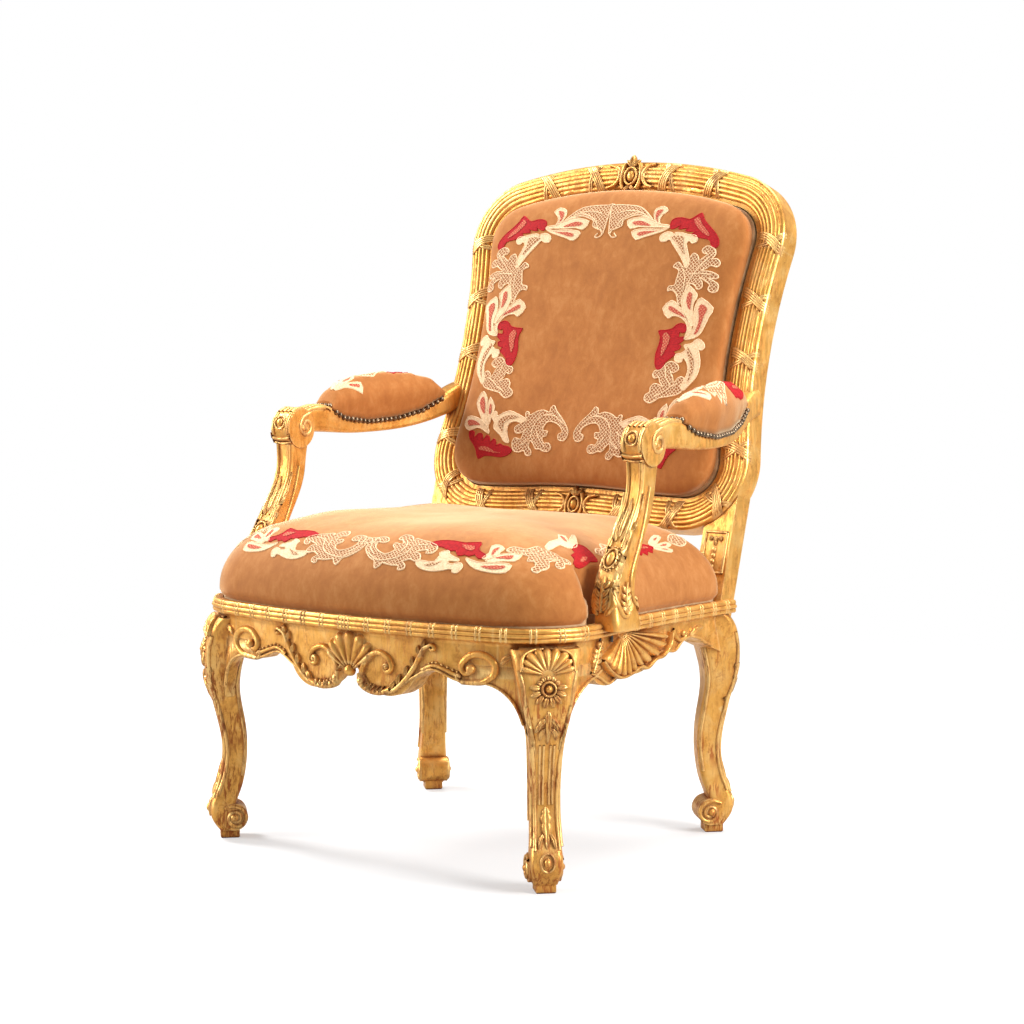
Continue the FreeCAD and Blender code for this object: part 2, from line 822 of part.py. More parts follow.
def arm_at(depth):
    """Offset, middle height, width and height of an arm at a depth."""
    sections = arm_sections()
    for near, far in zip(sections, sections[1:]):
        if near[0] <= depth <= far[0]:
            share = (depth - near[0]) / (far[0] - near[0])
            return [a + share * (b - a) for a, b in zip(near[1:], far[1:])]
    raise ValueError("the arm pad reaches past its arm")


def nail_places():
    """Point, outward direction and shank length of every nail round an arm pad's lower edge."""
    start = size("arm_pad_start")
    length = size("arm_pad_length")
    pitch = size("nail_pitch")
    radius = size("nail_diameter") / 2
    count = int((length - 16) / pitch)
    places = []
    for index in range(count + 1):
        depth = start + 8 + index * (length - 16) / count
        offset, middle, width, thick = arm_at(depth)
        height = middle + thick / 2 - 2.8
        for side in (-1, 1):
            x = size("arm_x") + offset + side * (width / 2 + 1.6)
            places.append((Vector(x, depth, height), Vector(side, 0, 0), 8.5))
    for depth, side in ((start - 0.2, -1), (start + length + 0.2, 1)):
        offset, middle, width, thick = arm_at(depth)
        for share in (-0.36, -0.12, 0.12, 0.36):
            x = size("arm_x") + offset + share * width
            height = middle + thick / 2 + 1.1 * radius
            places.append((Vector(x, depth, height), Vector(0, side, 0), 0))
    return places


def nail_solids():
    """Domed heads. Those along the sides have shanks in the arm."""
    nails = []
    for point, outward, shank in nail_places():
        nail = Part.makeSphere(size("nail_diameter") / 2, Vector(0, 0, 0), UP, 0, 90, 360)
        if shank:
            nail = nail.fuse(Part.makeCylinder(0.8, shank, Vector(0, 0, -shank), UP))
        turn = FreeCAD.Rotation(UP, outward)
        nails.append(nail.transformed(FreeCAD.Placement(point, turn).toMatrix()))
    return nails


def seat_pad_solid(shrink, low):
    """The domed seat: upright sides that round over to a broad crown."""
    bends = loose_seat_bends()
    inset = size("rebate_setback") + size("cloth_clearance") + shrink
    top = size("rail_top")
    rise = size("seat_rise") - shrink
    centre = (0, -45)
    wires = [closed_outline(bends, inset, low)]
    wall = 0.12 * rise
    for share, scale in crown(10, 0.62):
        height = top + wall + share * (rise - wall)
        wires.append(closed_outline(bends, inset, height, centre, scale))
    return loft(wires, True).cut(support_notch(shrink))


def support_notch(grow):
    """Room in both sides of the seat for the arm supports."""
    inner = size("arm_x") - 36 - grow
    front = -size("arm_scroll_y") - 127 - grow
    length = 110 + 2 * grow
    box = Part.makeBox(200, length, 400, Vector(inner, front, size("rail_top") - 40))
    box = box.makeFillet(12, [e for e in box.Edges if abs(e.BoundBox.XMax - inner) < 1e-6
                              and e.BoundBox.ZLength > 100])
    return box.fuse(mirrored(box))


def seat_frame_ring():
    """The loose seat frame before it is divided into its four rails."""
    bends = loose_seat_bends()
    inset = size("rebate_setback") + size("frame_clearance")
    low = size("rail_top") - size("rebate_depth")
    thickness = size("seat_frame_thickness")
    plate = Part.Face(closed_outline(bends, inset, low)).extrude(UP * thickness)
    width, front, rear = seat_opening()
    hole = Part.makeBox(2 * width, rear - front, 100, Vector(-width, front, low - 20))
    return plate.cut(hole).cut(support_notch(0.5))


def seat_opening():
    """Half width, front and rear of the loose seat frame's opening."""
    band = size("seat_frame_width") + size("rebate_setback")
    half = size("arm_x") - 36 - size("seat_frame_width")
    front = -size("front_reach") + size("front_bow") + band
    rear = size("seat_back_edge") - size("seat_frame_width")
    return half, front, rear


def divided(ring, half, front, rear):
    """Front and back rails run through, the side rails stand between them."""
    big = 2000
    tall = Part.makeBox(big, big, big, Vector(-big / 2, front - big, -big / 2))
    far = Part.makeBox(big, big, big, Vector(-big / 2, rear, -big / 2))
    left = Part.makeBox(big, rear - front, big, Vector(0, front, -big / 2))
    return ring.common(tall), ring.common(far), ring.common(left)


def back_panel_outline(inset, height, scale=1):
    centre = (0, 0.5 * (back_bends()[0].point(0)[1] + back_bends()[5].point(1)[1]))
    return closed_outline(back_bends(), inset, height, centre, scale)


def back_panel_ring():
    """The loose back frame, flat in the back's plane, before it is divided."""
    inset = size("back_frame_width") + size("frame_clearance")
    low = -size("back_rebate") + size("cover_thickness")
    plate = Part.Face(back_panel_outline(inset, low)).extrude(UP * size("back_panel_thickness"))
    half, front, rear = back_opening()
    hole = Part.makeBox(2 * half, rear - front, 100, Vector(-half, front, -50))
    return plate.cut(hole)


def back_opening():
    """Half width, bottom and top of the loose back frame's opening."""
    band = size("back_frame_width") + size("back_panel_rail")
    bends = back_bends()
    half = min(bends[3].point(share / 10)[0] for share in range(11)) - band
    low = bends[0].point(0)[1] + band
    high = bends[4].point(0.8)[1] - band
    return half, low, high


def back_pad_solid(shrink, low):
    """The domed back pad, flat behind, in the back's own frame."""
    inset = size("back_frame_width") + size("cloth_clearance") + shrink
    rise = size("back_rise") - shrink
    wires = [back_panel_outline(inset, low)]
    wall = 0.4 * rise
    for share, scale in crown(8, 0.28):
        height = wall + share * (rise - wall)
        wires.append(back_panel_outline(inset, height, scale))
    return loft(wires, True)


def strip_places(low, high, count):
    """Middles of evenly spaced strips."""
    pitch = (high - low) / count
    return [low + (index + 0.5) * pitch for index in range(count)]


def bound_box(name, placement, length, width, height):
    """A box whose three sizes are read from the sheet."""
    box = document.addObject("Part::Box", name)
    box.setExpression("Length", length)
    box.setExpression("Width", width)
    box.setExpression("Height", height)
    box.Placement = placement
    return box


def webbing(label, half, front, rear, counts, height, carry):
    """Strips that cross over a loose frame's opening in two layers."""
    lap = 24
    strips = []
    middle = "Dimensions.webbing_width"
    thick = "Dimensions.webbing_thickness"
    width = size("webbing_width")
    still = FreeCAD.Rotation()
    for number, x in enumerate(strip_places(-half, half, counts[0])):
        corner = Vector(x - width / 2, front - lap, height)
        place = carry * FreeCAD.Placement(corner, still)
        strips.append(
            bound_box(f"{label}_long_{number}", place, middle, f"{rear - front + 2 * lap} mm", thick)
        )
    above = height + size("webbing_thickness")
    for number, y in enumerate(strip_places(front, rear, counts[1])):
        corner = Vector(-half - lap, y - width / 2, above)
        place = carry * FreeCAD.Placement(corner, still)
        strips.append(
            bound_box(f"{label}_cross_{number}", place, f"{2 * half + 2 * lap} mm", middle, thick)
        )
    group = document.addObject("Part::Compound", label)
    group.Label = label
    group.Links = strips
    finished.append(group)
    return group


def hessian(label, half, front, rear, height, carry):
    """A sheet of coarse cloth over the webbing."""
    lap = 30
    corner = Vector(-half - lap, front - lap, height)
    place = carry * FreeCAD.Placement(corner, FreeCAD.Rotation())
    sheet_box = bound_box(
        label + "_sheet",
        place,
        f"{2 * (half + lap)} mm",
        f"{rear - front + 2 * lap} mm",
        "Dimensions.hessian_thickness",
    )
    group = document.addObject("Part::Compound", label)
    group.Label = label
    group.Links = [sheet_box]
    finished.append(group)
    return group


def tack_solids(half, front, rear, counts, height):
    """Tacks through the ends of the webbing, heads up."""
    lap = 14
    head = size("tack_diameter") / 2
    thick = size("webbing_thickness")
    tacks = []
    spots = []
    for x in strip_places(-half, half, counts[0]):
        for shift in (-18, 18):
            spots.append((x + shift, front - lap, height + thick))
            spots.append((x + shift, rear + lap, height + thick))
    for y in strip_places(front, rear, counts[1]):
        for shift in (-18, 18):
            spots.append((-half - lap, y + shift, height + 2 * thick))
            spots.append((half + lap, y + shift, height + 2 * thick))
    for x, y, z in spots:
        disc = Part.makeCylinder(head, 0.8, Vector(x, y, z))
        shank = Part.makeCylinder(1, size("tack_length"), Vector(x, y, z - size("tack_length")))
        tacks.append(disc.fuse(shank))
    return tacks


def cut_all(shape, tools):
    return shape.cut(Part.makeCompound(tools))


def single(shape):
    """The largest solid of a shape, without crumbs that a cut left behind."""
    return max(shape.Solids, key=lambda solid: solid.Volume)


def helper(name, shape):
    """A shape that another sub-part is made from."""
    item = document.addObject("Part::Feature", name)
    item.Shape = shape
    return item


def pin_front_rail(body, tenons, pegs):
    """The front rail with its tenons, drilled for their pegs."""
    whole = document.addObject("Part::MultiFuse", "front_rail_tenoned")
    tongues = [helper(f"front_rail_tenon_{n}", tenon) for n, tenon in enumerate(tenons, start=1)]
    whole.Shapes = [body] + tongues
    drilled = document.addObject("Part::Cut", "front_rail")
    drilled.Label = "front_rail"
    drilled.Base = whole
    drilled.Tool = helper("front_rail_peg_holes", Part.makeCompound(pegs))
    finished.append(drilled)
    document.recompute()


def build_wood():
    """Legs, rails, posts and back frame with their tenons and pegs."""
    bends = seat_bends(size("side_end"))
    top = size("rail_top")
    low = top - 52
    high = top - 24
    length = size("tenon_length")
    middle = size("rail_setback") + size("rail_thickness") / 2
    front_place = bends[0].point(1, middle)
    front_heading = bends[0].direction(1)
    front_tenon = sloped(tongue(front_place, front_heading, length, low, high))
    reach = (9, size("knee_block_depth") - middle)
    front_pegs = joint_pegs(front_place, front_heading, length, low, high, reach)
    side_place = bends[2].point(0, middle)
    side_heading = bends[2].direction(0) + 180
    side_tenon = sloped(tongue(side_place, side_heading, length, low, high))
    side_pegs = joint_pegs(side_place, side_heading, length, low, high, (reach[1], reach[0]))
    leg_pegs = [sloped(peg) for peg in front_pegs + side_pegs]

    post = single(rear_post_solid())
    rear_place = bends[3].point(1, middle)
    rear_heading = bends[3].direction(1)
    rear_point = (rear_place[0], rear_place[1] - 8)
    rear_tenon = sloped(tongue(rear_point, rear_heading, length, low, high, 12))
    rear_pegs = joint_pegs(rear_point, rear_heading, length + 10, low, high, (9, 16))
    rear_pegs = [sloped(peg) for peg in rear_pegs]

    corner = front_leg_solid()
    leg = cut_all(corner, [front_tenon, side_tenon] + leg_pegs)
    side_rail = single(cut_all(side_rail_solid(), [post, corner]))
    side_rail = side_rail.fuse([side_tenon, rear_tenon]).removeSplitter()
    side_rail = cut_all(side_rail, leg_pegs + rear_pegs)

    both = leg_pegs + [mirrored(peg) for peg in leg_pegs]
    pin_front_rail(front_rail_body(), [front_tenon, mirrored(front_tenon)], both)

    rear_body = rear_rail_body()

    back = back_bends()
    crest_tenon = back_tongue(back[3], 1, False)
    low_tenon = back_tongue(back[1], 1, False)
    crest_pegs = back_pegs(back[3], 1, False)
    low_pegs = back_pegs(back[1], 1, False)
    post = cut_all(post, [rear_tenon, rear_body.Shape, low_tenon] + rear_pegs + low_pegs)
    post = single(post).fuse(crest_tenon).removeSplitter()
    post = single(cut_all(post, crest_pegs))
    crest = crest_solid()
    tools = [crest_tenon] + crest_pegs
    crest = single(cut_all(crest, tools + [mirrored(tool) for tool in tools]))
    lower = lower_rail_solid().fuse([low_tenon, mirrored(low_tenon)]).removeSplitter()
    lower = single(cut_all(lower, low_pegs + [mirrored(peg) for peg in low_pegs]))

    add_pair("side_rail", single(side_rail))
    add_pair("front_leg", single(leg))
    add("crest_rail", crest)
    add("lower_back_rail", lower)
    seat_pegs = leg_pegs + rear_pegs
    frame_pegs = crest_pegs + low_pegs
    add("seat_rail_pegs", Part.makeCompound(seat_pegs + [mirrored(p) for p in seat_pegs]))
    add("back_frame_pegs", Part.makeCompound(frame_pegs + [mirrored(p) for p in frame_pegs]))
    return post, side_rail


def build_arms(post, side_rail):
    """Arms, their supports, pads and nails, and the screws that hold them."""
    arm = single(arm_solid().cut(post))
    support = single(support_solid().cut(arm).cut(side_rail))
    radius = size("screw_diameter") / 2
    length = size("screw_length")
    front = -size("arm_scroll_y")
    screws = []
    for depth in (front - 88, front - 58):
        start = Vector(size("arm_x") - 14.4, depth, size("rail_top") - 30)
        screws.append(Part.makeCylinder(radius, length + 10, start, UP))
    offset, middle, _, _ = arm_at(315)
    height = middle
    start = Vector(size("arm_x") + offset, 290, height)
    backwards = Vector(0, 1, 0)
    dowel = Part.makeCylinder(7, 50, start, backwards)
    upright = Part.makeCylinder(6, 46, Vector(size("arm_x"), front, size("arm_scroll_z") - 56), UP)
    dowels = [dowel, upright]
    nails = nail_solids()

    cover = loft(arm_pad_sections(0)).cut(arm)
    filling = loft(arm_pad_sections(size("cover_thickness"))).cut(arm)
    cover = single(cover.cut(filling))
    filling = single(filling)
    arm = single(cut_all(arm, dowels + nails))
    support = single(cut_all(support, screws + [upright]))
    side_rail = single(cut_all(side_rail, screws))
    post = single(cut_all(post, [dowel]))

    add_pair("rear_post", post)
    add_pair("arm", arm)
    add_pair("arm_support", support)
    add_pair("arm_pad_stuffing", filling)
    add_pair("arm_pad_cover", cover)
    add_pair("arm_pad_nails", Part.makeCompound(nails))
    add("arm_dowels", Part.makeCompound(dowels + [mirrored(d) for d in dowels]))
    add("arm_support_screws", Part.makeCompound(screws + [mirrored(s) for s in screws]))
    return side_rail


def build_seat():
    """The loose seat: frame, webbing, hessian, stuffing and cover."""
    half, front, rear = seat_opening()
    counts = (6, 5)
    ring = seat_frame_ring()
    low = size("rail_top") - size("rebate_depth")
    top = low + size("seat_frame_thickness")
    tacks = tack_solids(half, front, rear, counts, top)
    rails = divided(cut_all(ring, tacks), half, front, rear)
    slope = FreeCAD.Rotation(ACROSS, -size("seat_slope"))
    pivot = Vector(0, 0, size("rail_top"))
    carry = FreeCAD.Placement(pivot, slope) * FreeCAD.Placement(-pivot, FreeCAD.Rotation())
    add("seat_frame_front", single(sloped(rails[0])))
    add("seat_frame_rear", single(sloped(rails[1])))
    add_pair("seat_frame_side", single(sloped(rails[2])))
    webbing("seat_webbing", half, front, rear, counts, top, carry)
    add("seat_webbing_tacks", Part.makeCompound([sloped(tack) for tack in tacks]))
    cloth = top + 2 * size("webbing_thickness") + 0.8
    hessian("seat_hessian", half, front, rear, cloth, carry)
    floor = cloth + size("hessian_thickness")
    thickness = size("cover_thickness")
    filling = seat_pad_solid(thickness, floor)
    plug = Part.Face(
        closed_outline(loose_seat_bends(), size("rebate_setback") + size("frame_clearance"), low - 1)
    ).extrude(UP * (floor - low + 1))
    plug = plug.cut(support_notch(thickness))
    cover = seat_pad_solid(0, low + 0.5).cut(filling).cut(plug)
    add("seat_stuffing", single(sloped(filling)))
    add("seat_cover", single(sloped(cover)))


def build_back():
    """The loose back panel: frame, webbing, hessian, stuffing, cover and outside cloth."""
    half, low, high = back_opening()
    counts = (5, 5)
    ring = back_panel_ring()
    rear = -size("back_rebate") + size("cover_thickness")
    top = rear + size("back_panel_thickness")
    tacks = tack_solids(half, low, high, counts, top)
    rails = divided(cut_all(ring, tacks), half, low, high)
    add("back_panel_bottom_rail", single(leaned(rails[0])))
    add("back_panel_top_rail", single(leaned(rails[1])))
    add_pair("back_panel_stile", single(leaned(rails[2])))
    webbing("back_webbing", half, low, high, counts, top, back_placement())
    add("back_webbing_tacks", Part.makeCompound([leaned(tack) for tack in tacks]))
    cloth = top + 2 * size("webbing_thickness") + 0.8
    hessian("back_hessian", half, low, high, cloth, back_placement())
    floor = cloth + size("hessian_thickness")
    thickness = size("cover_thickness")
    filling = back_pad_solid(thickness, floor)
    inset = size("back_frame_width") + size("frame_clearance")
    plug = Part.Face(back_panel_outline(inset, rear - 1)).extrude(UP * (floor - rear + 1))
    cover = back_pad_solid(0, rear + 0.2).cut(filling).cut(plug)
    add("back_stuffing", single(leaned(filling)))
    add("back_cover", single(leaned(cover)))
    outside = Part.Face(back_panel_outline(inset, -size("back_rebate"))).extrude(UP * thickness)
    add("back_outside_cover", single(leaned(outside)))


def centre_on_origin():
    """The origin lies on the floor under the middle of the overall box."""
    boxes = [
        item.Shape.optimalBoundingBox(False, False)
        for item in finished
        if item.Label in ("front_rail", "front_leg_left", "crest_rail", "rear_post_left")
    ]
    low = min(box.YMin for box in boxes)
    high = max(box.YMax for box in boxes)
    row = [name for name, _, _ in SIZES].index("depth_centre") + 1
    sheet.set(f"B{row}", str(round((low + high) / 2, 4)))
    for item in finished:
        if item.TypeId != "Part::Mirroring":
            built = round(item.Placement.Base.y, 6)
            item.setExpression("Placement.Base.y", f"{built} mm - Dimensions.depth_centre * 1 mm")
    document.recompute()


def write_parts():
    """Checks every sub-part and writes it under its label."""
    os.makedirs("parts", exist_ok=True)
    failed = []
    for item in finished:
        shape = item.Shape
        bad = [state for state in item.State if state in ("Invalid", "Error")]
        if bad or shape.isNull() or not shape.isValid() or not shape.Solids:
            failed.append(item.Label)
        else:
            shape.exportStep(f"parts/{item.Label}.step")
    if failed:
        raise RuntimeError("did not build: " + ", ".join(failed))


enter_sizes()
rear_post, rail = build_wood()
rail = build_arms(rear_post, rail)
build_seat()
build_back()
for rail_item in finished:
    if rail_item.Label == "side_rail_left":
        rail_item.Shape = rail
document.recompute()
centre_on_origin()
write_parts()
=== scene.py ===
import json
import math

import bpy
import numpy as np
from mathutils import Matrix, Vector
from mathutils.bvhtree import BVHTree
from mathutils.noise import noise


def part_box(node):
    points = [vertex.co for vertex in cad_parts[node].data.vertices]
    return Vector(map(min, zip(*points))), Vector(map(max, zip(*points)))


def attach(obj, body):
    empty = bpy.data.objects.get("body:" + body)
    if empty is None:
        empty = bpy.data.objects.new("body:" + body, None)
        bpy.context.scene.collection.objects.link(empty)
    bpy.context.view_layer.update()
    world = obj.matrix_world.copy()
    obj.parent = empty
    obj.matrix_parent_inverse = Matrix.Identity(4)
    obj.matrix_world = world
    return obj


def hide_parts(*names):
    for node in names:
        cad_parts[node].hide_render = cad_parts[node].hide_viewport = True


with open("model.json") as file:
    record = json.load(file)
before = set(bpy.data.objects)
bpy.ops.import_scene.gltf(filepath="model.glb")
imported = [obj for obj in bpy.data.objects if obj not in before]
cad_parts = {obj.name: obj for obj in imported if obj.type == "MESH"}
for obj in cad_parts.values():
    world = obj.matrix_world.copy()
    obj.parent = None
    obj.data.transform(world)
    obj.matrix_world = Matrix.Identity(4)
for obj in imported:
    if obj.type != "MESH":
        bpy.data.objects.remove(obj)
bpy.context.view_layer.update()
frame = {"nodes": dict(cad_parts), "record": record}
NODES = frame["nodes"]

# Sizes of the chair in metres, in a frame whose depth starts midway between the feet.
RAIL_TOP = 0.370
SLOPE = math.radians(0.9)
FRONT_REACH = 0.320
RAIL_FACE = 0.018
BACK_ORIGIN = (0.267, 0.494)
RAKE = math.radians(16.91)
# How far that frame lies behind the middle of the overall depth: the tilted front rail shows it.
TILTED_REACH = 0.32004
DEPTH = -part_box("front_rail")[0].y - TILTED_REACH


# Outlines

class Line:
    """A chain of tangent arcs with its inside on the left. Distances run along its inset copy."""

    def __init__(self, start, stretches, inset):
        points = [start]
        headings = [0.0]
        for radius, turn in stretches:
            steps = max(8, int(abs(turn) * 2))
            side = 1 if turn > 0 else -1
            heading = headings[-1]
            x, y = points[-1]
            centre = (x - side * radius * math.sin(heading), y + side * radius * math.cos(heading))
            for step in range(1, steps + 1):
                angle = heading + math.radians(turn) * step / steps
                headings.append(angle)
                points.append(
                    (centre[0] + side * radius * math.sin(angle),
                     centre[1] - side * radius * math.cos(angle))
                )
        self.points = np.array(points)
        self.headings = np.array(headings)
        self.out = np.stack([np.sin(self.headings), -np.cos(self.headings)], 1)
        inner = self.points - inset * self.out
        self.reach = np.concatenate([[0], np.cumsum(np.hypot(*np.diff(inner, axis=0).T))])

    def at(self, along):
        """Points and outward directions at distances from the start, mirrored where negative."""
        side = np.where(np.asarray(along) < 0, -1.0, 1.0)
        far = np.abs(along)
        x, y = (np.interp(far, self.reach, self.points[:, i]) for i in (0, 1))
        heading = np.interp(far, self.reach, self.headings)
        return side, x, y, np.sin(heading), -np.cos(heading)

    def ring(self, inset, count):
        """A closed ring of points drawn in from the line and its mirror image, evenly spaced."""
        half = self.points - inset * self.out
        half = half[half[:, 0] >= -1e-9]
        loop = np.concatenate([half, half[::-1] * [-1, 1]])
        loop = np.concatenate([loop, loop[:1]])
        reach = np.concatenate([[0], np.cumsum(np.hypot(*np.diff(loop, axis=0).T))])
        spots = np.linspace(0, reach[-1], count, endpoint=False)
        return np.stack([np.interp(spots, reach, loop[:, i]) for i in (0, 1)], 1)


# Half the seat's outline: a shallow bow in front, a round corner, a hollow side.
BOW_HALF = 0.25
BOW_RISE = 0.026
CORNER_RADIUS = 0.116
CORNER_END = 97
SIDE_RADIUS = 2.5


def seat_stretches(rear, rear_corner):
    """Radii and turns of the seat's outline as far back as rear, and of a rear corner if it has one."""
    bow = (BOW_HALF**2 + BOW_RISE**2) / (2 * BOW_RISE)
    front = math.degrees(math.asin(BOW_HALF / bow))
    side_start = math.cos(math.radians(CORNER_END))
    start = -FRONT_REACH + bow * (1 - math.cos(math.radians(front)))
    start += CORNER_RADIUS * (math.cos(math.radians(front)) - side_start)
    end = math.degrees(math.acos((rear - start) / SIDE_RADIUS + side_start))
    stretches = [(bow, front), (CORNER_RADIUS, CORNER_END - front), (SIDE_RADIUS, end - CORNER_END)]
    if rear_corner:
        stretches.append((rear_corner, 180 - end))
    return stretches


# Half the back frame's outline: a dip, the lower corner, a hollow stile, the shoulder, the crest.
BACK_FOOT = (0, -0.025)
DIP_REACH = 0.09955
DIP_TURN = 4
LOW_CORNER = (0.108, 99.73)
STILE_HOLLOW = (1.0, -19.03)
SHOULDER = (0.1088, 84.5)
CREST_TURN = 14.8


def back_stretches():
    """Radii and turns of the back frame's outline from the lower rail to the crest."""
    dip = DIP_REACH / math.sin(math.radians(DIP_TURN))
    stretches = [(dip, -DIP_TURN), (dip, DIP_TURN), LOW_CORNER, STILE_HOLLOW, SHOULDER]
    crest_half = Line(BACK_FOOT, stretches, 0).points[-1][0]
    return stretches + [(crest_half / math.sin(math.radians(CREST_TURN)), CREST_TURN)]


SEAT_FRONT = (0, -FRONT_REACH)
RAIL_REAR = 0.231
LOOSE_REAR = 0.183
LOOSE_CORNER = 0.05
LOOSE_INSET = 0.016
FRAME_MIDDLE = 0.022
SEAT_LINE = Line(SEAT_FRONT, seat_stretches(RAIL_REAR, 0), RAIL_FACE)
LOOSE_SEAT = Line(SEAT_FRONT, seat_stretches(LOOSE_REAR, LOOSE_CORNER), LOOSE_INSET)
BACK_LINE = Line(BACK_FOOT, back_stretches(), FRAME_MIDDLE)


# Surfaces that take ornament: each turns rows of along, breadth and height (abh) into points.

def settle(points):
    """Moves points from the feet's frame to the row's frame."""
    return points - np.array([0, DEPTH, 0])


def seat_tilt(points):
    """The seat falls a little towards the back."""
    c, s = math.cos(-SLOPE), math.sin(-SLOPE)
    y, z = points[:, 1], points[:, 2] - RAIL_TOP
    return settle(np.stack([points[:, 0], c * y - s * z, s * y + c * z + RAIL_TOP], 1))


def back_lean(points):
    """From the back's own frame: across, up the back, forwards."""
    s, c = math.sin(RAKE), math.cos(RAKE)
    up, out = points[:, 1], points[:, 2]
    y = BACK_ORIGIN[0] + s * up - c * out
    z = BACK_ORIGIN[1] + c * up + s * out
    return settle(np.stack([points[:, 0], y, z], 1))


def on_seat_rail(abh):
    """Along the seat's outline, up the rail's face, out from it."""
    side, x, y, ox, oy = SEAT_LINE.at(abh[:, 0])
    inset = RAIL_FACE - abh[:, 2]
    flat = np.stack([side * (x - inset * ox), y - inset * oy, abh[:, 1]], 1)
    return seat_tilt(flat)


def on_back_frame(abh):
    """Along the back frame's outline, in from its edge, forwards."""
    side, x, y, ox, oy = BACK_LINE.at(abh[:, 0])
    flat = np.stack([side * (x - abh[:, 1] * ox), y - abh[:, 1] * oy, abh[:, 2]], 1)
    return back_lean(flat)


# Meshes

def add_object(name, verts, faces, material):
    mesh = bpy.data.meshes.new(name)
    mesh.from_pydata([tuple(v) for v in verts], [], [tuple(int(i) for i in f) for f in faces])
    mesh.validate()
    mesh.update()
    mesh.polygons.foreach_set("use_smooth", [True] * len(mesh.polygons))
    piece = bpy.data.objects.new(name, mesh)
    bpy.context.scene.collection.objects.link(piece)
    mesh.materials.append(material)
    return piece


def grid_faces(rows, columns, wrap):
    """Quads between rows of points."""
    faces = []
    last = columns if wrap else columns - 1
    for r in range(rows - 1):
        low, high = r * columns, (r + 1) * columns
        for c in range(last):
            d = (c + 1) % columns
            faces.append((low + c, low + d, high + d, high + c))
    return faces


def smoothstep(low, high, value):
    t = np.clip((np.asarray(value, float) - low) / (high - low), 0, 1)
    return t * t * (3 - 2 * t)


def ripple(points, scale, seed):
    """Smooth noise at points."""
    shift = np.array([seed, 0, 0])
    return np.array([noise(Vector(p * scale + shift)) for p in points])


# Materials

def new_material(name, settings):
    """A material with these plain settings, and the graph that its textures go in."""
    material = bpy.data.materials.new(name)
    material.use_nodes = True
    shader = material.node_tree.nodes["Principled BSDF"]
    for key, value in settings.items():
        shader.inputs[key].default_value = value
    return material, Graph(material.node_tree, shader)


class Graph:
    """Short calls for the nodes that the materials share."""

    def __init__(self, tree, shader):
        self.tree = tree
        self.shader = shader

    def node(self, kind, **values):
        item = self.tree.nodes.new("ShaderNode" + kind)
        for key, value in values.items():
            setattr(item, key, value)
        return item

    def link(self, a, b):
        self.tree.links.new(a, b)

    def feed(self, name, value):
        """Links a value to an input of the shader."""
        self.link(value, self.shader.inputs[name])

    def place(self, scale=(1, 1, 1)):
        coordinate = self.node("TexCoord")
        mapping = self.node("Mapping")
        mapping.inputs["Scale"].default_value = scale
        self.link(coordinate.outputs["Object"], mapping.inputs["Vector"])
        return mapping.outputs["Vector"]

    def noise(self, scale, detail=3, rough=0.5, stretch=(1, 1, 1), warp=0.0):
        item = self.node("TexNoise")
        item.inputs["Scale"].default_value = scale
        item.inputs["Detail"].default_value = detail
        item.inputs["Roughness"].default_value = rough
        item.inputs["Distortion"].default_value = warp
        self.link(self.place(stretch), item.inputs["Vector"])
        return item.outputs["Fac"]

    def ramp(self, value, stops):
        item = self.node("ValToRGB")
        first, last = item.color_ramp.elements[0], item.color_ramp.elements[1]
        for element, stop in ((first, stops[0]), (last, stops[-1])):
            element.position = stop[0]
            element.color = (*stop[1], 1)
        for position, colour in stops[1:-1]:
            element = item.color_ramp.elements.new(position)
            element.color = (*colour, 1)
        self.link(value, item.inputs["Fac"])
        return item.outputs["Color"]

    def mask(self, value, low, high):
        """0 below low, 1 above high."""
        item = self.node("MapRange")
        item.inputs["From Min"].default_value = low
        item.inputs["From Max"].default_value = high
        self.link(value, item.inputs["Value"])
        return item.outputs["Result"]

    def math(self, operation, a, b):
        item = self.node("Math", operation=operation)
        for socket, value in zip(item.inputs, (a, b)):
            if isinstance(value, (int, float)):
                socket.default_value = value
            else:
                self.link(value, socket)
        return item.outputs["Value"]

    def times(self, a, b):
        return self.math("MULTIPLY", a, b)

    def less(self, value):
        """What is left of 1."""
        return self.math("SUBTRACT", 1.0, value)

    def mix(self, factor, a, b):
        item = self.node("Mix", data_type="RGBA")
        for socket, value in zip((item.inputs[0], item.inputs[6], item.inputs[7]), (factor, a, b)):
            if isinstance(value, (int, float)):
                socket.default_value = value
            elif isinstance(value, tuple):
                socket.default_value = (*value, 1)
            else:
                self.link(value, socket)
        return item.outputs[2]

    def hollow(self, distance, inside=False):
        """Near 0 in hollows, or on sharp edges when it looks inside."""
        item = self.node("AmbientOcclusion", samples=6, inside=inside)
        item.inputs["Distance"].default_value = distance
        return item.outputs["AO"]

    def bump(self, height, strength, distance, before=None):
        item = self.node("Bump")
        item.inputs["Strength"].default_value = strength
        item.inputs["Distance"].default_value = distance
        self.link(height, item.inputs["Height"])
        if before is not None:
            self.link(before, item.inputs["Normal"])
        return item.outputs["Normal"]


# DEEP_GOLD and PALE_GOLD give the gold's random mottling, and also paint shade into hollows and a highlight
# on sharp edges.
GOLD = (0.85, 0.434, 0.097)
PALE_GOLD = (0.95, 0.66, 0.27)
DEEP_GOLD = (0.38, 0.128, 0.025)
RUBBED = (0.36, 0.088, 0.018)
BOLE_AND_HOLLOW_SHADE = (0.17, 0.042, 0.014)


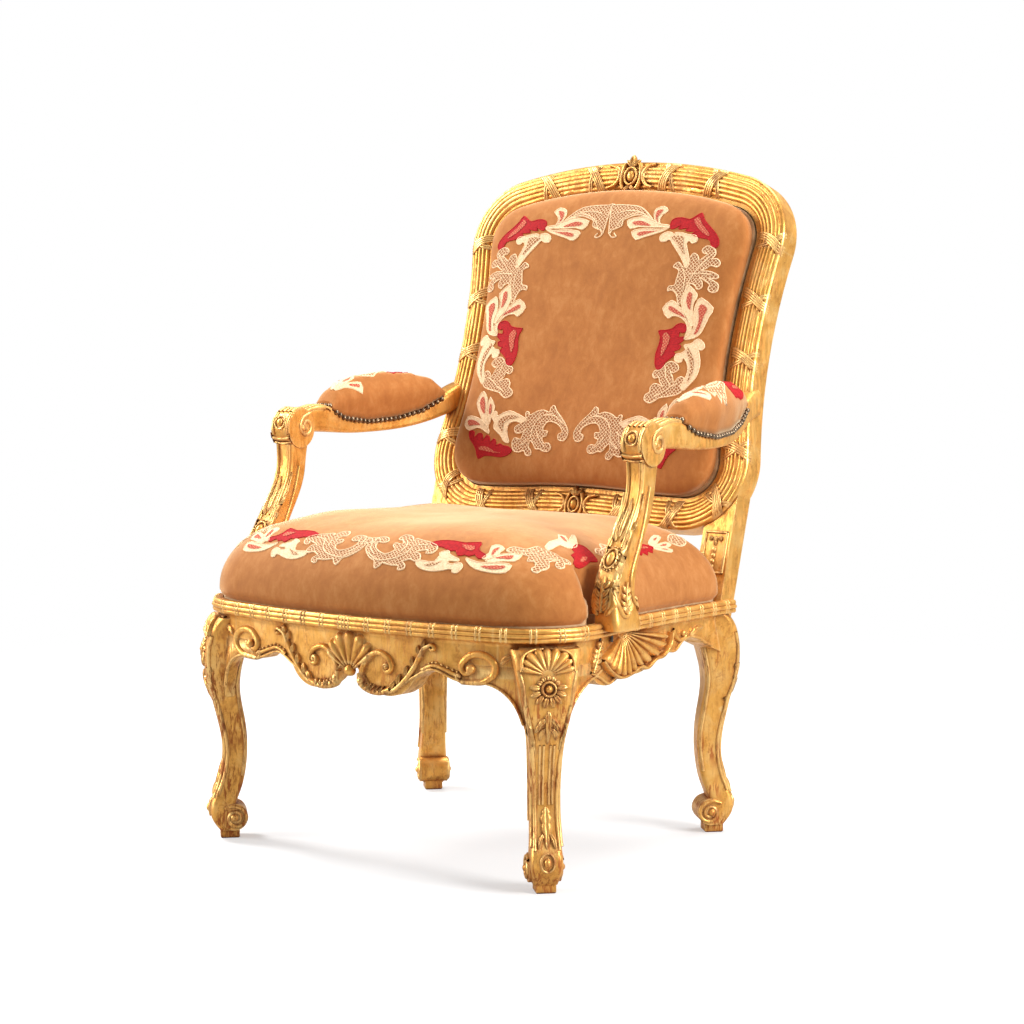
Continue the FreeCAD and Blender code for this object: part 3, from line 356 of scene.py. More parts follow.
def gilt_wood():
    """Worn leaf over a red ground, mottled and rubbed, with painted shade and red ground in the hollows and
    a painted highlight on sharp edges.
    """
    material, g = new_material("gilt_wood", {"Specular IOR Level": 0.2})
    cloud = g.noise(26, 5, 0.62, warp=0.5)
    tone = g.ramp(cloud, [(0.3, DEEP_GOLD), (0.47, GOLD), (0.70, PALE_GOLD)])
    tone = g.mix(0.5, GOLD, tone)
    # Painted shade: hollows found by ambient occlusion are darkened towards DEEP_GOLD.
    hollow = g.hollow(0.011)
    dark = g.times(g.less(g.mask(hollow, 0.40, 0.96)), 0.90)
    tone = g.mix(dark, tone, DEEP_GOLD)
    speck = g.noise(170, 5, 0.72, warp=0.8)
    drag = g.noise(75, 4, 0.62, stretch=(1, 1, 0.2), warp=0.3)
    # Painted highlight: sharp edges, found by ambient occlusion looking inside, are lightened towards
    # PALE_GOLD.
    edge = g.less(g.mask(g.hollow(0.0035, True), 0.4, 0.85))
    tone = g.mix(g.times(edge, 0.6), tone, PALE_GOLD)
    rub = g.times(g.mask(speck, 0.47, 0.62), g.mask(drag, 0.44, 0.62))
    tone = g.mix(g.times(rub, 0.5), tone, RUBBED)
    grain = g.noise(190, 4, 0.70, stretch=(1, 1, 0.16), warp=0.4)
    patch_wear = g.mask(g.noise(8.6, 3, 0.6, warp=0.4), 0.36, 0.54)
    spot = g.node("SeparateXYZ")
    g.link(g.place(), spot.inputs[0])
    # Legs are streaked more than the rest.
    leg_share = g.math("SUBTRACT", 0.86, g.times(g.mask(spot.outputs["Z"], 0.26, 0.32), 0.56))
    streak = g.times(g.mask(grain, 0.49, 0.57), patch_wear)
    tone = g.mix(g.times(streak, leg_share), tone, RUBBED)
    # Red ground in speckled hollows is partly real bole and dirt, partly painted shade. Rubbed edges also
    # show the red ground.
    hollow_bole_and_shade = g.times(g.less(g.mask(hollow, 0.20, 0.72)), g.mask(speck, 0.32, 0.56))
    worn = g.times(edge, g.mask(drag, 0.54, 0.66))
    red = g.math("MAXIMUM", g.times(hollow_bole_and_shade, 0.95), g.times(worn, 0.6))
    tone = g.mix(red, tone, BOLE_AND_HOLLOW_SHADE)
    g.feed("Base Color", tone)
    dull = g.math("MAXIMUM", red, g.times(streak, 0.7))
    g.feed("Metallic", g.math("SUBTRACT", 0.68, g.times(dull, 0.6)))
    rough = g.math("ADD", g.times(g.mask(cloud, 0.3, 0.8), 0.16), 0.28)
    g.feed("Roughness", g.math("ADD", rough, g.times(dull, 0.25)))
    fine = g.bump(speck, 0.28, 0.0006)
    fine = g.bump(drag, 0.30, 0.0012, fine)
    g.feed("Normal", g.bump(g.noise(45, 3, 0.5), 0.28, 0.0018, fine))
    return material


VELVET = (0.405, 0.148, 0.036)
VELVET_LIGHT = (0.57, 0.262, 0.088)
VELVET_DARK = (0.25, 0.074, 0.016)
WOOD_LIGHT = (0.52, 0.34, 0.18)
WOOD_DARK = (0.30, 0.17, 0.08)
CREAM = (0.86, 0.63, 0.39)
CREAM_DARK = (0.62, 0.40, 0.21)
SILK = (0.46, 0.010, 0.014)
SILK_DARK = (0.26, 0.004, 0.008)


def velvet():
    """Short pile: pressed patches of light and dark nap, a fine weave and a pale bloom."""
    material, g = new_material("velvet", {
        "Roughness": 0.86,
        "Sheen Weight": 0.78,
        "Sheen Roughness": 0.36,
        "Sheen Tint": (1.0, 0.85, 0.56, 1),
        "Specular IOR Level": 0.2,
    })
    pressed = g.noise(9, 4, 0.55, warp=0.6)
    brush = g.noise(60, 5, 0.68, stretch=(1, 1, 0.6), warp=0.3)
    nap = g.math("ADD", g.times(pressed, 0.35), g.times(brush, 0.65))
    tone = g.ramp(nap, [(0.36, VELVET_DARK), (0.5, VELVET), (0.64, VELVET_LIGHT)])
    tone = g.mix(0.40, VELVET, tone)
    thread = g.noise(900, 2, 0.5)
    tone = g.mix(g.times(g.mask(thread, 0.3, 0.7), 0.18), tone, VELVET_DARK)
    g.feed("Base Color", tone)
    fine = g.bump(thread, 0.25, 0.0004)
    g.feed("Normal", g.bump(brush, 0.2, 0.0015, fine))
    return material


def plain_cloth(name, light, dark, scale):
    """A plain weave of two crossing sets of threads."""
    material, g = new_material(name, {"Roughness": 0.92})
    waves = []
    for direction in ("X", "Z"):
        wave = g.node("TexWave", bands_direction=direction)
        wave.inputs["Scale"].default_value = scale
        wave.inputs["Distortion"].default_value = 0.6
        g.link(g.place(), wave.inputs["Vector"])
        waves.append(wave.outputs["Fac"])
    weave = g.times(waves[0], waves[1])
    tone = g.mix(g.mask(weave, 0.0, 0.8), dark, light)
    tone = g.mix(g.times(g.noise(14, 4), 0.35), tone, dark)
    g.feed("Base Color", tone)
    g.feed("Normal", g.bump(weave, 0.5, 0.0006))
    return material


def bare_wood():
    """Plain timber inside the upholstery, with its grain along x."""
    material, g = new_material("bare_wood", {"Roughness": 0.62})
    grain = g.noise(70, 5, 0.6, stretch=(0.12, 1, 1), warp=0.3)
    g.feed("Base Color", g.ramp(grain, [(0.3, WOOD_DARK), (0.7, WOOD_LIGHT)]))
    g.feed("Normal", g.bump(grain, 0.2, 0.0008))
    return material


def old_metal(name, light, dark, rough):
    """Dull, clouded metal."""
    material, g = new_material(name, {"Metallic": 0.85})
    cloud = g.noise(190, 4, 0.6)
    g.feed("Base Color", g.ramp(cloud, [(0.35, dark), (0.68, light)]))
    g.feed("Roughness", g.math("ADD", g.times(cloud, 0.2), rough))
    g.feed("Normal", g.bump(cloud, 0.15, 0.0005))
    return material


def lace_thread():
    """Cream thread, slightly uneven."""
    material, g = new_material("lace_thread", {"Roughness": 0.85, "Sheen Weight": 0.2})
    twist = g.noise(420, 3, 0.6)
    g.feed("Base Color", g.ramp(twist, [(0.3, CREAM_DARK), (0.62, CREAM)]))
    g.feed("Normal", g.bump(twist, 0.35, 0.0006))
    return material


def netting(name, thread, ground, scale, line_width):
    """Open mesh of one thread over a ground."""
    material, g = new_material(name, {"Roughness": 0.88})
    spot = g.node("SeparateXYZ")
    g.link(g.place(), spot.inputs[0])
    climb = g.times(g.math("ADD", spot.outputs["Y"], spot.outputs["Z"]), 0.85)
    slant = g.node("CombineXYZ")
    g.link(g.math("ADD", spot.outputs["X"], climb), slant.inputs["X"])
    g.link(g.math("SUBTRACT", spot.outputs["X"], climb), slant.inputs["Y"])
    cells = g.node("TexVoronoi", voronoi_dimensions="2D", feature="DISTANCE_TO_EDGE")
    cells.inputs["Scale"].default_value = scale
    cells.inputs["Randomness"].default_value = 0.45
    g.link(slant.outputs["Vector"], cells.inputs["Vector"])
    line = g.less(g.mask(cells.outputs["Distance"], 0.75 * line_width, 1.25 * line_width))
    g.feed("Base Color", g.mix(line, ground, thread))
    g.feed("Normal", g.bump(line, 0.5, 0.0007))
    return material


def red_silk():
    """Close red stitching."""
    material, g = new_material("red_embroidery", {"Roughness": 0.8, "Specular IOR Level": 0.2})
    stitch = g.noise(260, 3, 0.6, stretch=(1, 1, 2.5))
    g.feed("Base Color", g.ramp(stitch, [(0.3, SILK_DARK), (0.65, SILK)]))
    g.feed("Normal", g.bump(stitch, 0.3, 0.0006))
    return material


GILT = gilt_wood()
PILE = velvet()
LACE = lace_thread()
NETTING = netting("lace_netting", (0.84, 0.60, 0.36), (0.30, 0.105, 0.028), 150, 0.10)
PETAL = netting("petal_netting", (0.42, 0.026, 0.020), (0.56, 0.19, 0.09), 170, 0.16)
RED = red_silk()
SLOT_MATERIALS = {
    "gilt_wood": GILT,
    "bare_wood": bare_wood(),
    "velvet": PILE,
    "outside_cloth": plain_cloth("outside_cloth", (0.50, 0.25, 0.12), (0.30, 0.13, 0.055), 380),
    "webbing": plain_cloth("webbing", (0.52, 0.40, 0.24), (0.28, 0.19, 0.10), 300),
    "hessian": plain_cloth("hessian", (0.55, 0.44, 0.28), (0.25, 0.17, 0.09), 260),
    "stuffing": plain_cloth("stuffing", (0.50, 0.44, 0.34), (0.33, 0.27, 0.19), 320),
    "bronze": old_metal("bronze", (0.34, 0.25, 0.16), (0.10, 0.065, 0.04), 0.22),
    "iron": old_metal("iron", (0.16, 0.15, 0.14), (0.05, 0.045, 0.04), 0.4),
}


def dress_nodes():
    """Every node of the frame takes the material of its slot."""
    for row in frame["record"]["subparts"]:
        node = NODES[row["node"]]
        node.data.materials.clear()
        node.data.materials.append(SLOT_MATERIALS[row["material_slot"]])


# Upholstery

def crowned_rings(ring, centre, wall, top, levels, drawn, fullness):
    """Rings of a domed pad from its lower edge over its shoulder to its crown."""
    rings = []
    for level in levels:
        if level < 0:
            # The upright wall, drawn in a little at its foot.
            share = 1 + level
            scale = 1 + drawn * (smoothstep(0, 1, share) - 1)
            height = wall[0] + (wall[1] - wall[0]) * share
        else:
            angle = math.radians(90 * level)
            scale = max(math.cos(angle), 0.0) ** fullness
            height = wall[1] + (top - wall[1]) * math.sin(angle) ** 0.85
        flat = centre + (ring - centre) * scale
        rings.append(np.column_stack([flat, np.full(len(flat), height)]))
    return rings


def pad_mesh(name, rings, place):
    """A closed pad from its rings, shut below and gathered to one point on top."""
    columns = len(rings[0])
    points = np.concatenate(rings)
    top = points[-columns:].mean(0)
    bottom = points[:columns].mean(0)
    verts = np.concatenate([points, [top, bottom]])
    faces = grid_faces(len(rings), columns, True)
    last = (len(rings) - 1) * columns
    for c in range(columns):
        d = (c + 1) % columns
        faces.append((last + c, last + d, len(points)))
        faces.append((d, c, len(points) + 1))
    return add_object(name, place(verts), faces, PILE)


RING_POINTS = 260
SEAT_MIDDLE = np.array([0, -0.045])
BACK_MIDDLE = np.array([0, 0.272])


def pad_levels(count, bunching):
    """Levels up a pad's wall, below 0, then over its crown, bunched towards the top."""
    wall = np.linspace(-1, 0, 6, endpoint=False)
    crown = 1 - np.linspace(1, 0.0, count) ** bunching
    return [*wall, *crown[:-1]]


def make_seat():
    """The cushion spreads a little over the moulding and keeps clear of the arm supports."""
    spread_most = 0.0055
    widest = 0.45
    beside_support = 0.2965
    rings = crowned_rings(
        LOOSE_SEAT.ring(0.0166, RING_POINTS), SEAT_MIDDLE, wall=(0.358, 0.3866), top=0.507,
        levels=pad_levels(40, 1.4), drawn=0.010, fullness=0.62,
    )
    for ring in rings:
        x, y, z = ring.T
        spread = spread_most * smoothstep(0.3712, 0.380, z) * (1 - smoothstep(0.385, 0.46, z))
        out = ring[:, :2] - SEAT_MIDDLE
        ring[:, :2] += out / np.maximum(np.hypot(*out.T), 0.01)[:, None] * spread[:, None]
        near = smoothstep(-0.190, -0.172, y) * (1 - smoothstep(-0.072, -0.054, y))
        limit = widest - near * (widest - beside_support)
        over = np.maximum(np.abs(x) - limit, 0)
        ring[:, 0] = np.sign(x) * (np.abs(x) - over)
        lift = ripple(ring, 7, 3.1) * 0.004 + ripple(ring, 21, 8.4) * 0.0012
        ring[:, 2] += lift * smoothstep(0.40, 0.46, z)
    return pad_mesh("seat_cushion", rings, seat_tilt)


def make_back():
    """The back pad follows the frame's opening, with eased corners."""
    outline = BACK_LINE.ring(0.0536, RING_POINTS)
    for _ in range(14):
        outline = 0.5 * outline + 0.25 * (np.roll(outline, 1, 0) + np.roll(outline, -1, 0))
    rings = crowned_rings(
        outline, BACK_MIDDLE, wall=(0.002, 0.018), top=0.042,
        levels=pad_levels(30, 1.6), drawn=0.004, fullness=0.28,
    )
    for ring in rings:
        lift = ripple(ring, 7, 1.7) * 0.003 + ripple(ring, 24, 5.2) * 0.001
        ring[:, 2] += lift * smoothstep(0.02, 0.04, ring[:, 2])
    return pad_mesh("back_pad", rings, back_lean)


ARM_X = 0.334
ARM_EYE = 0.620
# Sections of an arm: depth, middle across, middle height, width and thickness.
ARM_SECTIONS = np.array([
    (-0.050, 0.000, 0.017, 0.034, 0.031),
    (-0.010, 0.000, 0.012, 0.034, 0.038),
    (0.030, 0.002, 0.010, 0.036, 0.040),
    (0.062, 0.003, 0.001, 0.038, 0.027),
    (0.120, 0.000, -0.004, 0.040, 0.020),
    (0.180, -0.011, -0.001, 0.040, 0.021),
    (0.230, -0.025, 0.008, 0.038, 0.025),
    (0.270, -0.037, 0.022, 0.036, 0.034),
    (0.335, -0.050, 0.043, 0.034, 0.042),
])


def arm_at(depth):
    """Middle across, top height and width of an arm at a depth."""
    columns = [np.interp(depth, ARM_SECTIONS[:, 0], ARM_SECTIONS[:, i]) for i in range(1, 5)]
    across, middle, width, thick = columns
    return ARM_X + across, ARM_EYE + middle + thick / 2, width


def make_arm_pad(side, name):
    """A rounded pad along the arm, puckered where it is nailed."""
    start, length, rise, swell = 0.034, 0.242, 0.074, 0.010
    shares = (0, 0.05, 0.14, 0.33, 0.56, 0.78, 0.92, 1)
    heights = (0.16, 0.46, 0.74, 0.96, 1, 0.82, 0.52, 0.16)
    room = 0.0004
    turn = np.linspace(0, math.pi, 40)
    side_x = np.cos(turn)
    lift = np.sin(turn)
    rings = []
    for share in 0.5 - 0.5 * np.cos(np.linspace(0, math.pi, 46)):
        depth = start + share * length
        x, low, width = arm_at(depth)
        height = np.interp(share, shares, heights)
        half = width / 2 - room
        belly = half + swell * height
        wide = half + (belly - half) * np.sin(np.clip(lift, 0, 1) * math.pi)
        across = wide * np.sign(side_x) * np.abs(side_x) ** 0.8
        pucker = 0.0007 * np.sin(depth * 680 + 3 * side_x) * (1 - smoothstep(0.1, 0.5, lift))
        across = across + np.sign(side_x) * pucker
        up = rise * height * lift ** 0.75
        rings.append(np.stack([side * (x + across), np.full(len(turn), depth), low + room + up], 1))
    return pad_mesh(name, rings, settle)


def build_upholstery():
    seat = make_seat()
    back = make_back()
    pads = {"left": make_arm_pad(1, "arm_rest_left"), "right": make_arm_pad(-1, "arm_rest_right")}
    covers = {
        seat: ("seat_cover", "seat_stuffing"),
        back: ("back_cover", "back_stuffing"),
        pads["left"]: ("arm_pad_cover_left", "arm_pad_stuffing_left"),
        pads["right"]: ("arm_pad_cover_right", "arm_pad_stuffing_right"),
    }
    for pad, nodes in covers.items():
        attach(pad, "root")
        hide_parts(*nodes)
    return seat, back, pads


# Carving and lace are drawn flat as along, breadth and height, then laid on a surface.

ROUND = ((-1, -0.3), (-0.92, 0.4), (-0.55, 0.85), (0, 1.0), (0.55, 0.85), (0.92, 0.4), (1, -0.3))
VEINED = (
    (-1, -0.3), (-0.84, 0.5), (-0.45, 1.0), (-0.1, 0.6), (0.1, 0.6), (0.45, 1.0), (0.84, 0.5), (1, -0.3),
)


# A throw starts this far back, and heights lean this much from the surface against the throw.
THROW_START = 0.3
THROW_LEAN = 0.4


class Cast:
    """Throws points on to pieces of the chair along a direction."""

    def __init__(self, pieces, start, throw):
        verts = []
        faces = []
        for piece in pieces:
            first = len(verts)
            verts.extend(piece.matrix_world @ v.co for v in piece.data.vertices)
            faces.extend([first + i for i in face.vertices] for face in piece.data.polygons)
        self.tree = BVHTree.FromPolygons(verts, faces)
        self.start = start
        self.throw = throw

    def __call__(self, abh):
        spots = []
        starts = self.start(abh)
        throws = self.throw(abh) if callable(self.throw) else [self.throw] * len(abh)
        for point, throw, height in zip(starts, throws, abh[:, 2]):
            point = Vector(point)
            throw = Vector(throw).normalized()
            spot, normal, _, _ = self.tree.ray_cast(point - throw * THROW_START, throw)
            if spot is None:
                spot, normal, _, _ = self.tree.find_nearest(point)
            if normal.dot(throw) > 0:
                normal = -normal
            spots.append(spot + (normal - THROW_LEAN * throw).normalized() * height)
        return np.array(spots)


def plane(origin, across, up):
    """Points of a flat drawing board."""
    origin, across, up = (np.array(v, float) for v in (origin, across, up))
    return lambda abh: settle(origin + abh[:, :1] * across + abh[:, 1:2] * up)


# A small step up from a surface, which shows its outside.
PROBE = np.array([0, 0, 0.002])
CURL_STEPS = 22
CURL_TIGHTENING = 0.82


class Relief:
    """Gathers shapes on one surface into one piece."""

    def __init__(self, name, place, material=GILT, slot="gilt_wood"):
        self.name = name
        self.place = place
        self.material = material
        self.slot = slot
        self.verts = []
        self.faces = []

    def lay(self, shape, mirror=False):
        """Adds a shape, and its mirror image where asked, with its faces turned outwards."""
        points, faces = shape
        for side in (1, -1) if mirror else (1,):
            flat = points * np.array([side, 1, 1])
            spots = self.place(flat)
            rise = self.place(flat + PROBE) - spots
            quads = np.asarray(faces)
            a, b, c, d = (spots[quads[:, i]] for i in range(4))
            if np.sum(np.cross(c - a, d - b) * rise[quads[:, 0]]) < 0:
                quads = quads[:, ::-1]
            self.faces.extend(quads + len(self.verts))
            self.verts.extend(spots)

    def finish(self, mirror_name=None):
        """Adds the piece and, when named, its mirror image on the sitter's other side."""
        verts = np.array(self.verts)
        sides = [(self.name, verts, self.faces)]
        if mirror_name:
            mirrored = verts * np.array([-1, 1, 1])
            sides.append((mirror_name, mirrored, [face[::-1] for face in self.faces]))
        for name, points, faces in sides:
            piece = add_object(name, points, faces, self.material)
            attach(piece, "root")


def curve(points, steps=7):
    """A smooth path through points."""
    p = np.asarray(points, float)
    ends = np.concatenate([[2 * p[0] - p[1]], p, [2 * p[-1] - p[-2]]])
    t = np.linspace(0, 1, steps, endpoint=False)[:, None]
    path = []
    for i in range(len(p) - 1):
        a, b, c, d = ends[i:i + 4]
        bend = 2 * a - 5 * b + 4 * c - d
        path.append(0.5 * (2 * b + (c - a) * t + bend * t**2 + (3 * b - a - 3 * c + d) * t**3))
    return np.concatenate(path + [p[-1:]])


def unit(angle):
    return np.array([math.cos(angle), math.sin(angle)])


def curl(path, radius, turns, side):
    """The path with a spiral wound on at its end."""
    step = path[-1] - path[-2]
    heading = math.atan2(step[1], step[0])
    count = int(CURL_STEPS * turns)
    turn = 2 * math.pi * turns / count
    point = path[-1]
    more = []
    for i in range(count):
        heading += side * turn
        point = point + radius * (1 - CURL_TIGHTENING * i / count) * turn * unit(heading)
        more.append(point)
    return np.concatenate([path, more])


def taper(path, *values):
    """Values spread evenly along a path."""
    return np.interp(np.linspace(0, 1, len(path)), np.linspace(0, 1, len(values)), values)


def strip(path, reach, rise, profile=ROUND):
    """A raised band along a path, with half widths and heights."""
    path = np.asarray(path, float)
    step = np.gradient(path[:, :2], axis=0)
    step /= np.maximum(np.hypot(*step.T), 1e-9)[:, None]
    across = np.stack([-step[:, 1], step[:, 0]], 1)
    reach = np.broadcast_to(reach, len(path))
    rise = np.broadcast_to(rise, len(path))
    base = path[:, 2] if path.shape[1] > 2 else np.zeros(len(path))
    rows = []
    for share, level in profile:
        flat = path[:, :2] + across * (share * reach)[:, None]
        rows.append(np.column_stack([flat, base + level * rise]))
    return np.stack(rows, 1).reshape(-1, 3), grid_faces(len(path), len(profile), False)


def band(points, reach, rise):
    """A rounded band of even width through points."""
    return strip(curve(points), reach, rise)


def leaf(points, width, rise, lobes=0):
    """A veined leaf along points, widest in the middle, scalloped where it has lobes."""
    path = curve(points, 5 * lobes) if lobes else curve(points)
    share = np.linspace(0.02, 0.985, len(path))
    reach = width * np.sin(math.pi * share**0.8) ** 0.75
    if lobes:
        reach = reach * (0.66 + 0.34 * np.abs(np.sin(math.pi * lobes * share)))
    return strip(path, reach + 0.0002, rise * np.sin(math.pi * share) ** 0.4, VEINED)


def boss(centre, radius, rise, stretch=1.0, sides=14, rings=5):
    """A rounded knob."""
    angle = np.linspace(0, 2 * math.pi, sides, endpoint=False)
    rows = []
    for ring in range(rings + 1):
        lift = 0.5 * math.pi * ring / rings
        r = radius * max(math.cos(lift), 0.02)
        height = rise * (math.sin(lift) - (0.3 if ring == 0 else 0))
        x = centre[0] + r * np.cos(angle)
        y = centre[1] + r * stretch * np.sin(angle)
        rows.append(np.column_stack([x, y, np.full(sides, height)]))
    return np.concatenate(rows), grid_faces(rings + 1, sides, True)


def ring_path(centre, radius, stretch=1.0):
    """A closed round or oval path."""
    angle = np.linspace(0, 2 * math.pi, 33)
    x = centre[0] + radius * np.cos(angle)
    y = centre[1] + radius * stretch * np.sin(angle)
    return np.column_stack([x, y])


def fan(centre, angles, radii, inner, rise, flutes, rows=9):
    """A fluted shell spread between angles, with a scalloped rim."""
    columns = flutes * 8 + 1
    share = np.linspace(0, 1, columns)
    angle = np.radians(np.interp(share, np.linspace(0, 1, len(angles)), angles))
    radius = np.interp(share, np.linspace(0, 1, len(radii)), radii)
    rib = np.abs(np.sin(share * flutes * math.pi))
    sunk = -0.0012
    points = []
    for row in range(rows + 1):
        out = row / rows
        r = inner + (radius * (0.9 + 0.1 * rib) - inner) * out
        swell = 0.45 + 0.55 * math.sin(math.pi * min(out / 0.85, 1) * 0.5)
        height = rise * swell * (0.35 + 0.65 * rib**0.7)
        if row in (0, rows):
            height = np.full(columns, sunk)
        height[[0, -1]] = sunk
        x = centre[0] + r * np.cos(angle)
        y = centre[1] + r * np.sin(angle)
        points.append(np.column_stack([x, y, height]))
    return np.concatenate(points), grid_faces(rows + 1, columns, False)


def web(lower, top, depth):
    """A solid filling between a lower edge and a height, rounded below."""
    path = curve(lower)
    proud = 0.0005
    turn = 0.0025
    # Lift above the lower edge, or None at the top, and height, round the section.
    section = (
        (None, proud), (turn, proud), (0.3 * turn, -0.3 * turn), (0, -turn),
        (0, turn - depth), (turn, -depth), (None, -depth),
    )
    loop = []
    for lift, height in section:
        up = np.full(len(path), top) if lift is None else path[:, 1] + lift
        loop.append(np.column_stack([path[:, 0], up, np.full(len(path), height)]))
    return np.stack(loop, 1).reshape(-1, 3), grid_faces(len(path), len(loop), True)


def acanthus(relief, points, width, rise, leaflets, length, mirror=False, sides=(1, -1)):
    """A stem with small leaves springing from it."""
    path = curve(points)
    relief.lay(strip(path, taper(path, 0.7 * width, width, 0.6 * width), rise), mirror)
    for index in range(leaflets):
        spot = int((index + 0.7) / (leaflets + 0.6) * (len(path) - 2))
        step = path[spot + 1] - path[spot]
        heading = math.atan2(step[1], step[0])
        reach = length * (1 - 0.35 * index / leaflets)
        for side in sides:
            middle = path[spot] + 0.55 * reach * unit(heading + side * 0.9)
            tip = middle + 0.5 * reach * unit(heading + side * 0.55)
            relief.lay(leaf([path[spot], middle, tip], 0.26 * reach, 1.1 * rise), mirror)


# Seat rails

# Section of the seat moulding: height and how far it stands out.
MOULDING = np.array([
    (0.3702, 0.0100), (0.3700, 0.0128), (0.3688, 0.0152), (0.3662, 0.0160), (0.3634, 0.0157),
    (0.3600, 0.0180), (0.3566, 0.0157), (0.3540, 0.0163), (0.3514, 0.0156), (0.3500, 0.0118),
])
# Section of a tie: offset along the rail and lift off the moulding.
TIE = ((-0.0016, -0.0004), (-0.0011, 0.0008), (0, 0.0012), (0.0011, 0.0008), (0.0016, -0.0004))


# How high and how deep the filling is where a rail sweeps into a leg.
SWEEP_TOP = 0.314
SWEEP_DEPTH = 0.016


def tie(along):
    """A thin band over the seat moulding."""
    step = np.gradient(MOULDING, axis=0)
    step /= np.hypot(*step.T)[:, None]
    out = np.stack([step[:, 1], -step[:, 0]], 1)
    rows = []
    for offset, lift in TIE:
        line = MOULDING + out * lift
        rows.append(np.column_stack([np.full(len(line), along + offset), line]))
    return np.stack(rows, 1).reshape(-1, 3), grid_faces(len(MOULDING), len(TIE), False)


def carve_front_centre(r):
    """A shell between two lobes, each with a scroll and a leafy roll along its edge."""
    radii = (0.046, 0.060, 0.063, 0.060, 0.046)
    r.lay(fan((0, 0.288), (26, 52, 90, 128, 154), radii, 0.006, 0.0085, 7))
    r.lay(boss((0, 0.290), 0.009, 0.009))
    hook = [(0.021, 0.276), (0.024, 0.294), (0.034, 0.312), (0.052, 0.3205), (0.069, 0.315), (0.076, 0.305)]
    hook = curl(curve(hook), 0.0085, 1.1, -1)
    r.lay(strip(hook, taper(hook, 0.0052, 0.0045, 0.0036), 0.0062), True)
    r.lay(boss((0.0685, 0.3005), 0.0048, 0.0075), True)
    roll = curve([(0.020, 0.288), (0.023, 0.274), (0.038, 0.2655), (0.0577, 0.2635), (0.075, 0.269)])
    r.lay(strip(roll, taper(roll, 0.004, 0.0065, 0.0055, 0.004), 0.0085), True)
    r.lay(boss((0.0235, 0.277), 0.0075, 0.0105), True)
    for share in np.linspace(0.3, 0.8, 6):
        spot = roll[int(share * (len(roll) - 1))]
        r.lay(leaf([spot + [-0.004, -0.004], spot + [0.003, 0.009]], 0.0022, 0.0098), True)


def carve_front_ends(r):
    """On each side of the rail: a leafy stem, a beaded arch and a large scroll."""
    stem = [
        (0.066, 0.264), (0.0815, 0.269), (0.099, 0.284), (0.113, 0.301),
        (0.124, 0.320), (0.131, 0.332), (0.143, 0.338),
    ]
    acanthus(r, stem, 0.0046, 0.0058, 6, 0.0185, True, sides=(1,))
    tip = curl(curve(stem[-3:]), 0.0048, 0.9, -1)
    r.lay(strip(tip, taper(tip, 0.0034, 0.003), 0.0066), True)
    arch = curve([
        (0.128, 0.3015), (0.140, 0.3075), (0.150, 0.3092), (0.166, 0.3050), (0.181, 0.2995), (0.192, 0.2965),
    ])
    r.lay(strip(arch, 0.0030, 0.0046), True)
    for spot in arch[2:-4:4]:
        r.lay(boss(spot + [0.0015, 0.0042], 0.0022, 0.0036, sides=8, rings=3), True)
    bow = curve([
        (0.193, 0.289), (0.210, 0.2895), (0.228, 0.292), (0.243, 0.303),
        (0.244, 0.318), (0.228, 0.329), (0.208, 0.328), (0.195, 0.318),
    ])
    bow = curl(bow, 0.011, 0.85, 1)
    r.lay(strip(bow, taper(bow, 0.0036, 0.0054, 0.0056, 0.0040), 0.0058), True)
    r.lay(boss((0.2075, 0.3085), 0.0078, 0.0095), True)
    hook = curl(curve([(0.200, 0.2885), (0.192, 0.289), (0.186, 0.2935)]), 0.004, 0.8, -1)
    r.lay(strip(hook, 0.0024, 0.005), True)


def carve_front_edge(r):
    """The raised lower edge, the sweep of the rail into each leg, and the leg's head under the moulding."""
    edge = [
        (0, 0.3025), (0.014, 0.2985), (0.0275, 0.2825), (0.040, 0.268), (0.0577, 0.2628),
        (0.086, 0.272), (0.115, 0.2905), (0.145, 0.3035), (0.181, 0.2925), (0.205, 0.2895),
        (0.232, 0.2893), (0.252, 0.2825), (0.267, 0.2705), (0.278, 0.2545), (0.286, 0.234),
    ]
    r.lay(band(edge, 0.0022, 0.0036), True)
    sweep = [
        (0.204, 0.2885), (0.232, 0.2868), (0.252, 0.280), (0.267, 0.268),
        (0.278, 0.252), (0.286, 0.232), (0.290, 0.218),
    ]
    r.lay(web(sweep, SWEEP_TOP, SWEEP_DEPTH), True)
    r.lay(band([(0.279, 0.3395), (0.319, 0.3395), (0.359, 0.3395)], 0.0042, 0.0065), True)
    # A bud above the sweep.
    r.lay(leaf([(0.253, 0.318), (0.262, 0.327), (0.274, 0.331)], 0.0045, 0.005), True)


def carve_front_rail():
    r = Relief("front_rail_carving", on_seat_rail)
    carve_front_centre(r)
    carve_front_ends(r)
    carve_front_edge(r)
    r.finish()


def beside(depth):
    """Distance along the seat's outline at a depth on the side."""
    at_middle = 0.563
    stretch = 1.008
    return at_middle + stretch * depth


